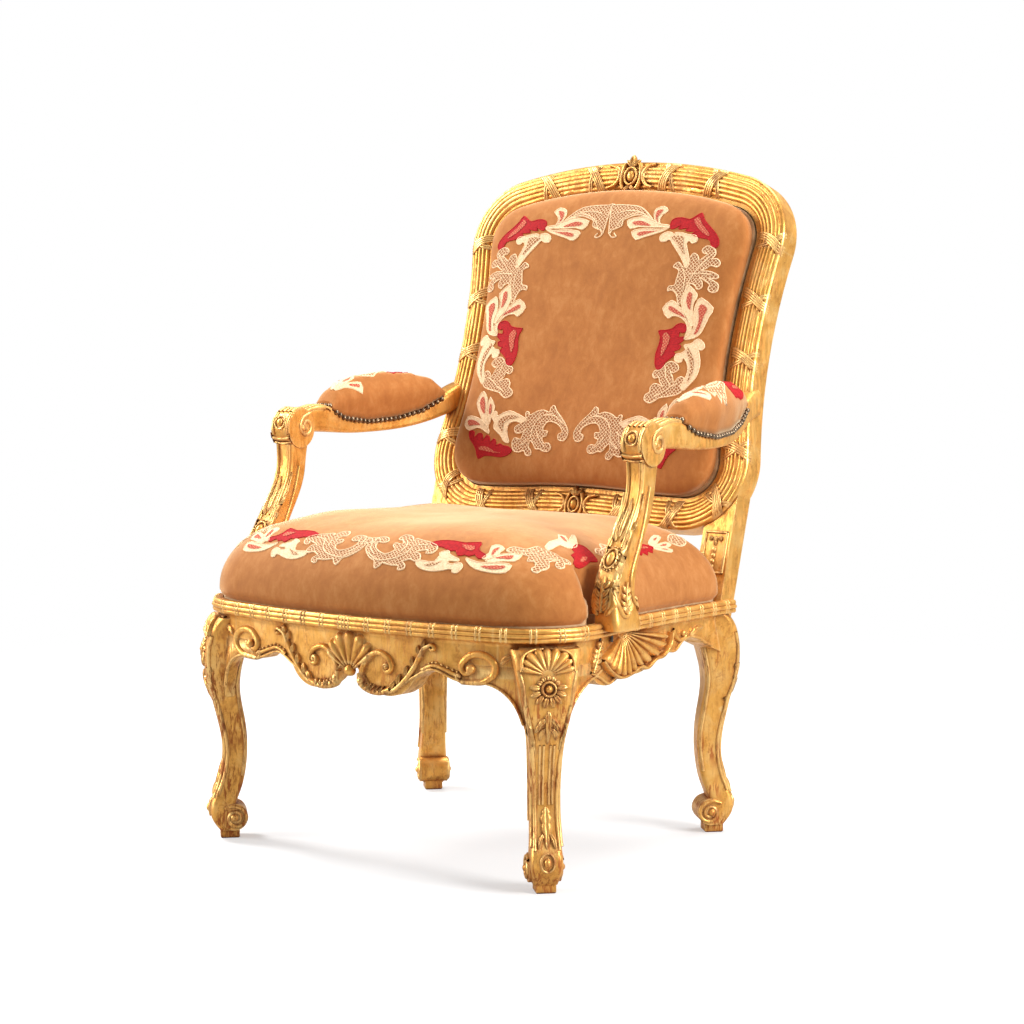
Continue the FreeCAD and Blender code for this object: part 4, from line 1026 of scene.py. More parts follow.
def carve_side_rails():
    """On each side rail: a rimmed shell beside the leg, a raised lower edge, a hook and leaves."""
    r = Relief("side_rail_left_carving", on_seat_rail)
    angles = (205, 232, 259, 283, 307, 329, 345, 354)
    radii = (0.076, 0.069, 0.068, 0.068, 0.071, 0.098, 0.128, 0.132)
    r.lay(fan((0.4945, 0.349), angles, radii, 0.008, 0.0125, 11))
    rim = curve([
        (0.428, 0.315), (0.452, 0.297), (0.482, 0.2845), (0.512, 0.2865), (0.540, 0.294),
        (0.560, 0.290), (0.583, 0.300), (0.606, 0.303), (0.624, 0.317), (0.630, 0.335),
    ])
    r.lay(strip(rim, taper(rim, 0.0025, 0.0036, 0.003), 0.0118))
    sweep = [
        (0.348, 0.216), (0.351, 0.232), (0.356, 0.248), (0.365, 0.2635),
        (0.378, 0.2765), (0.396, 0.286), (0.416, 0.2915), (0.434, 0.2985),
    ]
    r.lay(web(sweep, SWEEP_TOP, SWEEP_DEPTH))
    r.lay(strip(curve(sweep[1:]) + [0, 0.002], 0.0022, 0.0036))
    edge = [
        (-0.160, 0.3005), (-0.132, 0.290), (-0.105, 0.2785), (-0.080, 0.289),
        (-0.046, 0.289), (-0.030, 0.2855), (0.000, 0.292), (0.020, 0.2965),
        (0.040, 0.3075), (0.062, 0.308), (0.084, 0.3055), (0.104, 0.318),
        (0.124, 0.3225), (0.150, 0.318), (0.166, 0.3105), (0.186, 0.303),
    ]
    r.lay(band([(beside(y), z) for y, z in edge], 0.0024, 0.0042))
    hook = curl(curve([(0.640, 0.338), (0.648, 0.327), (0.660, 0.320), (0.672, 0.3225)]), 0.0055, 0.9, 1)
    r.lay(strip(hook, taper(hook, 0.0036, 0.003), 0.0055))
    r.lay(leaf([(0.690, 0.322), (0.706, 0.331), (0.728, 0.333)], 0.0065, 0.005, 4))
    acanthus(r, [(0.405, 0.300), (0.414, 0.313), (0.420, 0.328), (0.430, 0.342)], 0.0036, 0.0065, 4, 0.016)
    r.finish("side_rail_right_carving")


def tie_seat_moulding():
    """Pairs of ties at even distances, left out at the arm supports and the rear posts."""
    r = Relief("seat_moulding_ties", on_seat_rail)
    apart = 0.0032
    spots = [0.006] + [0.042 + 0.0365 * i for i in range(21)]
    for spot in spots:
        if 0.385 < spot < 0.495 or spot > 0.80:
            continue
        for offset in (-apart, apart):
            r.lay(tie(spot + offset), True)
    r.finish()


# Legs

# Side view of a leg: heights, and how far its outer and inner edges stand out there.
LEG_HEIGHTS = (0.030, 0.044, 0.068, 0.098, 0.130, 0.160, 0.207, 0.245, 0.290, 0.317)
LEG_OUTER = (0.026, 0.030, 0.024, 0.0135, 0.0084, 0.0108, 0.0216, 0.033, 0.036, 0.031)
LEG_INNER = (-0.012, -0.008, -0.014, -0.023, -0.027, -0.027, -0.020, -0.017, -0.026, -0.036)


def carve_leg_sides(r, node, base, outward, sideways):
    """Raised edges on both sides of a leg and a spiral round a boss at its foot."""
    outer = [(reach - 0.0052, z) for reach, z in zip(LEG_OUTER, LEG_HEIGHTS)]
    inner = [(reach + 0.0045, z) for reach, z in zip(LEG_INNER, LEG_HEIGHTS)]
    spiral = curl(curve([(0.009, 0.0475), (-0.003, 0.0512), (-0.0145, 0.0485)]), 0.0165, 1.75, 1)
    up = np.array([0, 0, 1])
    foot_half = 0.023
    for side in (1, -1):
        board = plane(base + side * sideways * 0.02, outward, up)
        r.place = Cast([NODES[node]], board, -side * sideways)
        r.lay(band(outer[2:], 0.0026, 0.003))
        r.lay(band(inner[3:], 0.0022, 0.0026))

        def beside_foot(abh, out=side * sideways):
            flat = base + abh[:, :1] * outward + abh[:, 1:2] * up
            return settle(flat + (foot_half + abh[:, 2:]) * out)
        r.place = beside_foot
        r.lay(strip(spiral, taper(spiral, 0.0028, 0.0032, 0.0026), 0.0036))
        r.lay(boss((-0.006, 0.0335), 0.0066, 0.0075))


def carve_leg(name, node, foot, direction):
    """One leg on the sitter's left: its sides, then raised borders, leaves, a boss and reeds in front."""
    angle = math.radians(direction)
    outward = np.array([math.cos(angle), math.sin(angle), 0])
    sideways = np.array([-math.sin(angle), math.cos(angle), 0])
    base = np.array([foot[0], foot[1], 0])
    r = Relief(name, None)
    carve_leg_sides(r, node, base, outward, sideways)
    r.place = Cast([NODES[node]], plane(base + outward * 0.04, sideways, (0, 0, 1)), -outward)
    border = [
        (0.031, 0.268), (0.0245, 0.228), (0.0185, 0.190), (0.0158, 0.145), (0.0155, 0.100), (0.0175, 0.064),
    ]
    r.lay(band(border, 0.0024, 0.003), True)
    r.lay(leaf([(0, 0.122), (0, 0.100), (0, 0.066)], 0.0085, 0.005, 4))
    r.lay(leaf([(0.004, 0.086), (0.009, 0.078), (0.012, 0.066)], 0.0032, 0.0045), True)
    r.lay(boss((0, 0.047), 0.0056, 0.006, 1.35))
    r.lay(strip(ring_path((0, 0.047), 0.0098, 1.3), 0.0017, 0.003))
    for x in (0.0048, 0.0102):
        r.lay(band([(x, 0.212), (x * 0.95, 0.175), (x * 0.9, 0.126)], 0.0017, 0.002), True)
    return r


def carve_front_legs():
    """The knee of each front leg: a rimmed shell, a flower and leaves below it."""
    r = carve_leg("front_leg_left_carving", "front_leg_left", (0.299, -0.238), -45)
    radii = (0.039, 0.043, 0.036, 0.043, 0.039)
    r.lay(fan((0, 0.311), (8, 40, 90, 140, 172), radii, 0.007, 0.0068, 9))
    rim = [(0.036, 0.317), (0.034, 0.336), (0.018, 0.344), (0, 0.3465)]
    rim += [(-x, z) for x, z in rim[2::-1]]
    r.lay(band(rim, 0.0024, 0.0062))
    flower = np.array([0, 0.293])
    petals = 13
    r.lay(boss(flower, 0.0062, 0.0078))
    r.lay(strip(ring_path(flower, 0.0095), 0.002, 0.0062))
    for index in range(petals):
        ray = unit(math.radians(90 + 360 * index / petals))
        far = 0.027 if ray[1] < 0.3 else 0.019
        r.lay(leaf([flower + ray * 0.011, flower + ray * far], 0.0043, 0.0046))
    r.lay(leaf([(0, 0.262), (0, 0.245), (0, 0.214)], 0.0052, 0.005))
    r.lay(leaf([(0.003, 0.252), (0.012, 0.243), (0.018, 0.231)], 0.0045, 0.0048, 2), True)
    r.lay(leaf([(0.003, 0.238), (0.010, 0.230), (0.011, 0.219)], 0.0038, 0.0042), True)
    r.finish("front_leg_right_carving")


def carve_rear_legs():
    r = carve_leg("rear_leg_left_carving", "rear_post_left", (0.277, 0.239), 45)
    r.finish("rear_leg_right_carving")


# Arms

def carve_arm_scroll(r):
    """Spirals on both sides of the arm's front end, and raised bands along its top."""
    half = 0.0185
    start = curve([(0.030, 0.645), (0.006, 0.650), (-0.020, 0.6450), (-0.040, 0.6380)])
    spiral = curl(start, 0.0165, 1.5, 1)[16:]
    for side in (1, -1):
        def beside_arm(abh, side=side):
            return settle(np.column_stack([ARM_X + side * (half + abh[:, 2]), abh[:, 0], abh[:, 1]]))
        r.place = beside_arm
        r.lay(strip(spiral, taper(spiral, 0.0022, 0.0034, 0.0026), 0.0026))
        r.lay(boss((-0.0425, 0.6205), 0.0056, 0.0042))
    r.place = Cast([NODES["arm_left"]], plane((ARM_X, 0, 0.7), (1, 0, 0), (0, 1, 0)), (0, 0, -1))
    r.lay(band([(0.0125, -0.062), (0.0125, -0.030), (0.0135, 0.000), (0.0145, 0.030)], 0.0026, 0.0032), True)
    r.lay(band([(0.0042, -0.062), (0.0042, -0.030), (0.0048, 0.000), (0.005, 0.030)], 0.0021, 0.0026), True)


def carve_arm_front(r):
    """Down the front of the arm and its support: a boss, collars, raised edges, a cabochon and leaves."""
    board = plane((ARM_X, -0.14, 0), (1, 0, 0), (0, 0, 1))
    r.place = Cast([NODES["arm_left"], NODES["arm_support_left"]], board, (0, 1, 0))
    r.lay(boss((0, 0.630), 0.0062, 0.006))
    r.lay(strip(ring_path((0, 0.630), 0.0098), 0.0016, 0.003))
    for height, reach in ((0.606, 0.0026), (0.599, 0.002)):
        r.lay(band([(-0.0185, height), (0, height - 0.002), (0.0185, height)], reach, 0.0032))
    r.lay(band([(0.0135, 0.645), (0.0135, 0.628), (0.0135, 0.611)], 0.0024, 0.003), True)
    r.lay(band([(0.0108, 0.596), (0.0100, 0.560), (0.0102, 0.520), (0.0115, 0.478)], 0.0026, 0.0036), True)
    r.lay(leaf([(0, 0.492), (0, 0.510), (0, 0.545)], 0.0062, 0.0036))
    r.lay(leaf([(0.004, 0.486), (0.0095, 0.502), (0.0065, 0.528)], 0.0042, 0.0042), True)
    cabochon = (0, 0.462)
    r.lay(boss(cabochon, 0.0068, 0.0075, 1.45))
    r.lay(strip(ring_path(cabochon, 0.0098, 1.35), 0.0014, 0.0036))
    for spot in ring_path(cabochon, 0.0122, 1.3)[::2]:
        r.lay(boss(spot, 0.0016, 0.0036, sides=8, rings=3))
    acanthus(r, [(0, 0.388), (0, 0.410), (0, 0.438)], 0.0044, 0.0055, 4, 0.020)
    r.lay(leaf([(0.006, 0.384), (0.0165, 0.400), (0.014, 0.424)], 0.0062, 0.0062, 3), True)


def carve_support_sides(r):
    """Scrolls and leaves on both sides of the support's foot."""
    inner = [
        (-0.050, 0.560), (-0.062, 0.520), (-0.082, 0.478),
        (-0.104, 0.440), (-0.106, 0.412), (-0.098, 0.398),
    ]
    outer = [
        (-0.078, 0.555), (-0.090, 0.518), (-0.116, 0.478),
        (-0.142, 0.440), (-0.145, 0.410), (-0.134, 0.386),
    ]
    for side in (1, -1):
        board = plane((ARM_X + side * 0.05, 0, 0), (0, 1, 0), (0, 0, 1))
        r.place = Cast([NODES["arm_support_left"]], board, (-side, 0, 0))
        r.lay(strip(curl(curve(inner), 0.007, 1.0, 1), 0.0028, 0.0038))
        r.lay(strip(curl(curve(outer), 0.009, 1.0, 1), 0.0032, 0.0042))
        acanthus(r, [(-0.118, 0.384), (-0.122, 0.404), (-0.118, 0.430)], 0.0034, 0.005, 4, 0.017)


def carve_arms():
    r = Relief("arm_left_carving", None)
    carve_arm_scroll(r)
    carve_arm_front(r)
    carve_support_sides(r)
    r.finish("arm_right_carving")


# Back frame

FRAME_WIDTH = 0.045
FRAME_RISE = 0.009
RIBBON_REACH = 0.047


def frame_height(across):
    """Height of the back frame's face at a distance in from its edge."""
    share = across / FRAME_WIDTH
    return FRAME_RISE * (1 - (2 * share - 0.9) ** 2 / 1.21)


def ribbon(r, along, lean, strands, gap, lift):
    """Strands of one ribbon laid slantwise over the reeds."""
    w = np.linspace(0.0, RIBBON_REACH, 15)
    bow = 0.004 * np.sin(math.pi * w / RIBBON_REACH)
    height = frame_height(w) + lift
    # The outer end is tucked into the frame's edge.
    height[0] = -0.006
    for index in range(strands):
        offset = (index - (strands - 1) / 2) * gap
        slant = along + offset + lean * (w - RIBBON_REACH / 2) + bow * np.sign(lean)
        r.lay(strip(np.column_stack([slant, w, height]), 0.0021, 0.0019), True)


def tie_back_frame():
    """Crossed ribbons at the places where the photograph shows them."""
    r = Relief("back_frame_ties", on_back_frame)
    for along in (0.083, 0.185, 0.272, 0.360, 0.505, 0.601, 0.698, 0.873, 0.965):
        ribbon(r, along, 0.55, 4, 0.0040, 0.0012)
        ribbon(r, along, -0.45, 2, 0.0042, 0.0004)
    r.finish()


def carve_back_centres():
    """A cabochon between curved straps at the middle of the crest and of the lower rail."""
    r = Relief("back_frame_ornaments", None)
    proud = 0.0075
    for base, size in ((0.553, 1.0), (-0.001, 0.86)):
        def place(abh, base=base, size=size):
            return back_lean(np.column_stack([abh[:, 0] * size, base + abh[:, 1] * size, proud + abh[:, 2]]))
        r.place = place
        r.lay(boss((0, -0.002), 0.0075, 0.008, 1.35))
        r.lay(strip(ring_path((0, -0.002), 0.0112, 1.3), 0.0024, 0.0055))
        strap = [(0.013, 0.020), (0.017, 0.010), (0.0185, -0.002), (0.017, -0.014), (0.013, -0.024)]
        r.lay(band(strap, 0.0034, 0.0048), True)
        outer = curve([(0.046, 0.018), (0.030, 0.013), (0.0225, 0.000), (0.029, -0.015), (0.044, -0.022)])
        r.lay(strip(outer, taper(outer, 0.002, 0.0038, 0.002), 0.0045), True)
        r.lay(leaf([(0, 0.014), (0.006, 0.020), (0.013, 0.026)], 0.0042, 0.0055), True)
        r.lay(leaf([(0, -0.018), (0.006, -0.023), (0.012, -0.026)], 0.0038, 0.005), True)
        r.lay(leaf([(0, 0.012), (0, 0.022), (0, 0.034)], 0.0062, 0.0085))
    r.finish()


def carve_posts():
    """A framed panel with three leaves and a drop of beads on each post."""
    r = Relief("post_left_panel", back_lean)
    middle, top = 0.271, -0.036
    box = [(0.2515, -0.030), (0.2515, -0.094), (0.2905, -0.094), (0.2905, -0.030)]
    for a, b in zip(box, box[1:] + box[:1]):
        r.lay(strip(np.linspace(a, b, 8), 0.0024, 0.0026))
    for reach, drop in ((0, -0.052), (0.0075, -0.044), (-0.0075, -0.044)):
        waist = (middle + 1.2 * reach, 0.5 * (drop + top))
        r.lay(leaf([(middle + reach, top), waist, (middle + reach, drop)], 0.0042, 0.004, 2))
    for drop in (-0.058, -0.067, -0.076, -0.084):
        r.lay(boss((middle, drop), 0.0034 + 0.02 * (drop + 0.084), 0.0036, 1.2, sides=10, rings=3))
    r.finish("post_right_panel")


def carve_frame():
    # Casts read where the pieces are, so their places are brought up to date first.
    bpy.context.view_layer.update()
    carve_front_rail()
    carve_side_rails()
    tie_seat_moulding()
    carve_front_legs()
    carve_rear_legs()
    carve_arms()
    tie_back_frame()
    carve_back_centres()
    carve_posts()


# Lace border of the covers, drawn in millimetres

MILLIMETRE = 0.001
CORD = 0.00105
CORD_RISE = 0.0014
FILL_CELL = 0.0014
WINDOW_CELL = 0.0009
# How far the back's drawing is off the middle, and the height where the seat's drawing starts.
LACE_SHIFT = -0.007
LACE_FOOT = 0.400


def around(points, steps):
    """A closed smooth outline through points."""
    p = np.asarray(points, float) * MILLIMETRE
    path = curve(np.concatenate([p[-1:], p, p[:2]]), steps)
    return path[steps:-steps]


def inside(spots, outline):
    """True for the spots that an outline encloses."""
    odd = np.zeros(spots.shape[:2], bool)
    for p, q in zip(outline, np.roll(outline, -1, axis=0)):
        spans = (p[1] > spots[..., 1]) != (q[1] > spots[..., 1])
        slope = (q[0] - p[0]) / (q[1] - p[1]) if q[1] != p[1] else 0.0
        odd ^= spans & (spots[..., 0] < p[0] + (spots[..., 1] - p[1]) * slope)
    return odd


def patch(outline, rise, cell=FILL_CELL):
    """A thin cloth that fills a closed outline."""
    low = outline.min(0) - cell
    count = np.ceil((outline.max(0) - low) / cell).astype(int) + 1
    corners = low + cell * np.stack(np.meshgrid(*(np.arange(n) for n in count), indexing="ij"), -1)
    index = np.arange(count[0] * count[1]).reshape(count)
    quads = np.stack([index[:-1, :-1], index[1:, :-1], index[1:, 1:], index[:-1, 1:]], -1)
    quads = quads[inside(corners[:-1, :-1] + cell / 2, outline)]
    used, quads = np.unique(quads, return_inverse=True)
    flat = corners.reshape(-1, 2)[used]
    return np.column_stack([flat, np.full(len(flat), rise)]), quads.reshape(-1, 4)


class Border:
    """Lace cords, netting, petals and red leaves on one cover."""

    def __init__(self, name, place, mirror=True):
        self.cord = Relief(name + "_lace", place, LACE, "velvet")
        self.net = Relief(name + "_netting", place, NETTING, "velvet")
        self.stitch = Relief(name + "_petals", place, PETAL, "velvet")
        self.red = Relief(name + "_red_leaves", place, RED, "velvet")
        self.mirror = mirror

    def fill(self, relief, points, rise, steps, edge=None, cell=FILL_CELL):
        """Cloth inside an outline, with a cord round it where an edge is given."""
        outline = around(points, steps)
        relief.lay(patch(outline, rise, cell), self.mirror)
        if edge:
            edge.lay(strip(outline, CORD, CORD_RISE), self.mirror)

    def net_leaf(self, points):
        self.fill(self.net, points, 0.0006, 3, self.cord)

    def cream_leaf(self, points, slit):
        self.fill(self.cord, points, 0.0009, 3, self.cord)
        self.fill(self.net, slit, 0.0015, 2, None, WINDOW_CELL)

    def petal(self, points, window):
        self.fill(self.cord, points, 0.0007, 2, self.cord)
        self.fill(self.stitch, window, 0.0013, 2, None, WINDOW_CELL)

    def red_leaf(self, points, window):
        self.fill(self.red, points, 0.0008, 2, self.red)
        self.fill(self.stitch, window, 0.0014, 2, None, WINDOW_CELL)

    def cords(self, *paths):
        for points in paths:
            self.cord.lay(band(np.array(points) * MILLIMETRE, CORD, CORD_RISE), self.mirror)

    def finish(self, other_side=False):
        for relief in (self.cord, self.net, self.stitch, self.red):
            relief.finish(relief.name.replace("_left", "_right") if other_side else None)


def lace_back_top(b):
    """Netting under the crest, then petals, a red leaf and a cream leaf in each upper corner."""
    b.net_leaf(
        [(0, 491), (6, 492), (35, 491), (58, 487), (75, 476), (87, 464), (68, 472), (53, 473), (38, 469),
         (29, 464), (29, 456), (20, 451), (11, 448), (6, 443)],
    )
    b.cords(
        [(83, 467), (57, 479), (33, 481), (15, 477)],
        [(59, 478), (39, 473), (25, 464), (18, 451)],
        [(5, 444), (13, 436), (21, 437), (16, 443)],
    )
    b.petal(
        [(102, 457), (93, 462), (87, 474), (89, 484), (102, 488), (111, 481), (103, 474), (99, 465)],
        [(93, 481), (103, 482), (98, 474), (95, 467), (99, 459), (93, 466), (91, 475)],
    )
    b.petal(
        [(120, 455), (104, 457), (89, 464), (74, 470), (59, 469), (38, 464), (47, 450), (62, 453),
         (82, 452), (101, 452), (120, 452)],
        [(49, 460), (60, 463), (72, 461), (87, 454), (72, 455), (56, 456)],
    )
    b.petal(
        [(122, 452), (106, 448), (82, 449), (63, 448), (51, 444), (62, 431), (76, 435), (94, 440),
         (110, 445)],
        [(64, 442), (77, 445), (95, 445), (106, 447), (84, 441), (67, 437)],
    )
    b.red_leaf(
        [(123, 453), (123, 462), (129, 467), (142, 468), (156, 465), (166, 470), (176, 476), (182, 466),
         (193, 455), (206, 444), (216, 432), (218, 422), (213, 417), (205, 422), (201, 430), (190, 433),
         (178, 435), (166, 440), (172, 444), (159, 445), (153, 446), (156, 451), (145, 449), (139, 449),
         (142, 455), (134, 451), (126, 449)],
        [(167, 466), (174, 468), (182, 456), (193, 446), (200, 437), (191, 439), (177, 449), (166, 461)],
    )
    b.cream_leaf(
        [(108, 432), (109, 438), (118, 443), (129, 442), (134, 437), (135, 442), (147, 442), (160, 439),
         (172, 438), (178, 433), (176, 427), (169, 425), (164, 429), (159, 425), (162, 415), (168, 401),
         (170, 388), (165, 384), (158, 395), (148, 408), (136, 421), (127, 431), (119, 428), (111, 428)],
        [(129, 435), (140, 437), (152, 435), (153, 423), (160, 405), (150, 415), (140, 426)],
    )


def lace_back_upper_sides(b):
    """Netting and three petals below it on each side."""
    b.net_leaf(
        [(142, 386), (151, 393), (160, 385), (167, 388), (170, 400), (176, 408), (185, 403), (188, 396),
         (198, 403), (203, 406), (193, 409), (191, 415), (200, 420), (212, 416), (216, 407), (211, 399),
         (220, 399), (226, 393), (222, 386), (211, 388), (203, 383), (195, 379), (212, 378), (226, 372),
         (223, 367), (210, 367), (220, 363), (228, 357), (227, 347), (218, 345), (212, 350), (214, 357),
         (205, 363), (194, 368), (200, 360), (200, 352), (193, 349), (188, 355), (180, 358), (175, 353),
         (171, 345), (168, 334), (166, 324), (161, 327), (157, 339), (148, 347), (139, 346), (140, 353),
         (150, 355), (152, 365), (154, 378), (149, 383)],
    )
    b.cords(
        [(215, 411), (190, 385), (176, 362), (168, 332)],
        [(173, 373), (194, 375), (214, 373)],
        [(160, 383), (167, 368), (167, 348)],
    )
    b.petal(
        [(184, 267), (187, 283), (181, 296), (168, 304), (155, 305), (148, 301), (135, 317), (150, 330),
         (163, 322), (176, 311), (188, 296), (194, 283)],
        [(146, 316), (149, 321), (162, 315), (175, 307), (182, 301), (169, 306), (157, 310)],
    )
    b.petal(
        [(189, 290), (179, 303), (171, 319), (168, 332), (171, 345), (177, 355), (195, 340), (191, 329),
         (190, 316), (196, 303), (198, 291)],
        [(177, 332), (179, 344), (186, 341), (186, 329), (186, 314), (179, 324)],
    )
    b.petal(
        [(198, 291), (194, 313), (196, 326), (203, 335), (225, 320), (220, 306), (215, 290), (210, 278),
         (201, 270), (186, 267), (192, 275), (196, 283)],
        [(201, 316), (205, 325), (216, 318), (212, 306), (209, 290), (205, 278), (200, 276), (204, 291),
         (204, 306)],
    )


def lace_back_lower_sides(b):
    """A red leaf, a cream leaf and netting further down each side."""
    b.red_leaf(
        [(134, 280), (146, 281), (159, 284), (165, 290), (174, 293), (184, 289), (185, 281), (179, 278),
         (173, 279), (173, 270), (182, 271), (182, 265), (173, 258), (179, 257), (178, 251), (168, 247),
         (172, 242), (166, 237), (161, 233), (155, 227), (153, 219), (144, 217), (138, 226), (136, 243),
         (139, 258), (139, 271)],
        [(144, 273), (150, 278), (158, 269), (156, 258), (152, 248), (147, 238), (145, 250), (146, 261)],
    )
    b.cream_leaf(
        [(199, 261), (207, 268), (216, 265), (221, 257), (217, 251), (212, 251), (217, 235), (218, 222),
         (215, 207), (206, 194), (197, 184), (193, 193), (198, 205), (200, 218), (195, 231), (188, 237),
         (186, 231), (179, 229), (173, 234), (174, 242), (183, 244), (190, 250), (186, 257), (193, 259)],
        [(193, 255), (199, 247), (207, 234), (209, 220), (206, 204), (201, 195), (204, 207), (204, 220),
         (200, 234), (193, 247)],
    )
    b.net_leaf(
        [(154, 219), (160, 227), (169, 230), (179, 226), (183, 218), (174, 212), (169, 214), (174, 206),
         (179, 196), (184, 203), (191, 206), (197, 202), (195, 195), (190, 192), (195, 184), (187, 177),
         (171, 173), (157, 170), (148, 164), (141, 161), (131, 166), (131, 174), (138, 179), (138, 187),
         (144, 193), (154, 191), (161, 188), (153, 197), (150, 204), (143, 202), (138, 207), (140, 214),
         (148, 215)],
    )
    b.cords([(158, 222), (163, 204), (172, 188), (147, 171)], [(172, 188), (185, 195)])


def lace_back_foot(b):
    """Petals, a red leaf and a cream leaf in each lower corner, and netting between them."""
    b.petal(
        [(220, 114), (216, 128), (201, 128), (183, 122), (168, 110), (164, 100), (178, 107), (191, 110),
         (207, 105)],
        [(214, 119), (211, 123), (196, 121), (184, 114), (198, 114), (208, 112)],
    )
    b.petal(
        [(170, 107), (187, 130), (200, 150), (197, 164), (190, 171), (179, 158), (176, 137), (168, 116)],
        [(185, 137), (194, 152), (189, 163), (182, 151), (179, 134)],
    )
    b.petal(
        [(168, 116), (173, 132), (175, 148), (173, 161), (161, 146), (163, 133), (165, 121)],
        [(170, 134), (171, 151), (166, 145), (166, 134)],
    )
    b.red_leaf(
        [(206, 101), (202, 104), (195, 102), (194, 92), (185, 100), (177, 98), (174, 88), (168, 97),
         (161, 94), (159, 85), (152, 92), (147, 87), (146, 81), (138, 84), (131, 81), (121, 80), (113, 74),
         (120, 67), (133, 63), (154, 64), (168, 63), (179, 58), (185, 71), (193, 82), (202, 90)],
        [(180, 76), (172, 79), (159, 77), (146, 71), (133, 69), (149, 69), (164, 71), (177, 72)],
    )
    b.cream_leaf(
        [(163, 128), (162, 136), (155, 137), (151, 130), (141, 135), (127, 139), (112, 135), (99, 130),
         (92, 126), (101, 121), (114, 123), (125, 119), (129, 110), (126, 98), (121, 87), (131, 89),
         (139, 98), (149, 105), (156, 111), (156, 120)],
        [(148, 120), (138, 129), (122, 133), (107, 129), (125, 126), (137, 117), (135, 102), (144, 110)],
    )
    b.net_leaf(
        [(101, 120), (94, 127), (95, 138), (90, 139), (86, 134), (75, 140), (61, 143), (49, 140), (47, 148),
         (41, 151), (36, 144), (26, 134), (15, 123), (7, 111), (7, 101), (13, 94), (23, 96), (25, 104),
         (18, 108), (22, 116), (31, 122), (42, 125), (51, 123), (57, 114), (56, 109), (48, 109), (49, 101),
         (56, 98), (52, 89), (42, 89), (37, 83), (41, 76), (51, 76), (58, 79), (66, 79), (72, 87), (79, 92),
         (81, 82), (75, 75), (76, 68), (84, 68), (89, 75), (99, 72), (110, 75), (114, 87), (110, 95),
         (99, 93), (96, 98), (94, 106), (89, 112), (100, 104), (110, 104), (113, 112), (106, 117)],
    )
    b.cords(
        [(42, 138), (65, 131), (77, 114), (80, 97), (95, 84)],
        [(19, 122), (37, 134), (56, 135)],
        [(71, 111), (61, 94), (49, 83)],
    )


def lace_back():
    s, c = math.sin(RAKE), math.cos(RAKE)
    board = plane((LACE_SHIFT, *BACK_ORIGIN), (1, 0, 0), (0, s, c))
    b = Border("back", Cast([BACK], board, (0, c, -s)))
    lace_back_top(b)
    lace_back_upper_sides(b)
    lace_back_lower_sides(b)
    lace_back_foot(b)
    b.finish()


def lace_seat_front(b):
    """Netting in the middle of the front, then a cream leaf and a red leaf on both sides of it."""
    b.net_leaf(
        [(-20, 97), (-19, 103), (-11, 107), (1, 105), (7, 96), (11, 98), (11, 107), (21, 110), (31, 108),
         (36, 101), (30, 97), (19, 98), (19, 90), (24, 84), (35, 78), (46, 76), (55, 80), (58, 86),
         (51, 92), (52, 98), (65, 96), (61, 105), (53, 106), (52, 112), (57, 118), (71, 116), (80, 105),
         (82, 111), (95, 108), (107, 106), (119, 102), (127, 97), (128, 89), (123, 83), (114, 83),
         (115, 89), (103, 86), (95, 82), (104, 81), (109, 72), (103, 67), (93, 70), (85, 67), (81, 65),
         (88, 59), (87, 53), (78, 52), (77, 58), (66, 58), (52, 60), (47, 61), (43, 55), (36, 52), (31, 63),
         (22, 67), (11, 75), (3, 85), (1, 94), (-10, 96)],
    )
    b.cords(
        [(11, 77), (34, 65), (51, 66), (69, 71), (81, 80), (88, 94), (102, 98), (114, 98)],
        [(70, 104), (74, 94), (71, 82)],
        [(9, 94), (13, 84), (26, 74)],
    )
    b.cream_leaf(
        [(105, 65), (111, 59), (123, 55), (137, 54), (151, 56), (161, 59), (168, 59), (169, 55), (176, 54),
         (181, 60), (182, 65), (178, 70), (169, 69), (166, 67), (156, 69), (159, 73), (172, 73), (171, 77),
         (160, 81), (153, 85), (150, 90), (143, 89), (137, 85), (139, 80), (137, 74), (134, 69), (123, 68),
         (111, 69)],
        [(120, 62), (129, 61), (139, 64), (148, 72), (140, 68), (128, 65)],
    )
    b.red_leaf(
        [(112, 104), (126, 111), (147, 112), (168, 110), (191, 115), (193, 104), (199, 95), (211, 89),
         (210, 83), (202, 81), (194, 88), (186, 84), (178, 86), (168, 83), (161, 92), (153, 91), (137, 97),
         (124, 99)],
        [(165, 105), (186, 104), (187, 95), (176, 96)],
    )


def lace_seat_corners(b):
    """Petals and netting towards each front corner."""
    b.petal(
        [(208, 82), (215, 93), (212, 108), (221, 113), (233, 106), (230, 98), (228, 88), (219, 81)],
        [(219, 93), (219, 103), (226, 107), (224, 98), (222, 88)],
    )
    b.petal(
        [(215, 77), (224, 88), (240, 95), (255, 98), (277, 96), (263, 83), (242, 80), (228, 76)],
        [(228, 84), (242, 91), (255, 94), (254, 86), (238, 84)],
    )
    b.petal(
        [(183, 80), (203, 74), (227, 74), (244, 76), (260, 73), (252, 60), (231, 58), (203, 63), (188, 73)],
        [(211, 67), (227, 69), (249, 71), (245, 65), (227, 63)],
    )
    b.net_leaf(
        [(238, 102), (242, 113), (256, 115), (287, 113), (324, 119), (359, 120), (372, 109), (386, 99),
         (389, 88), (399, 80), (398, 72), (382, 75), (373, 69), (358, 68), (354, 74), (365, 82), (346, 83),
         (338, 73), (329, 68), (318, 66), (310, 62), (302, 64), (300, 70), (308, 74), (308, 84), (291, 85),
         (297, 95), (278, 99), (255, 98)],
    )
    b.cords([(245, 103), (274, 107), (319, 102), (350, 90), (375, 82)], [(309, 114), (353, 100), (373, 84)])


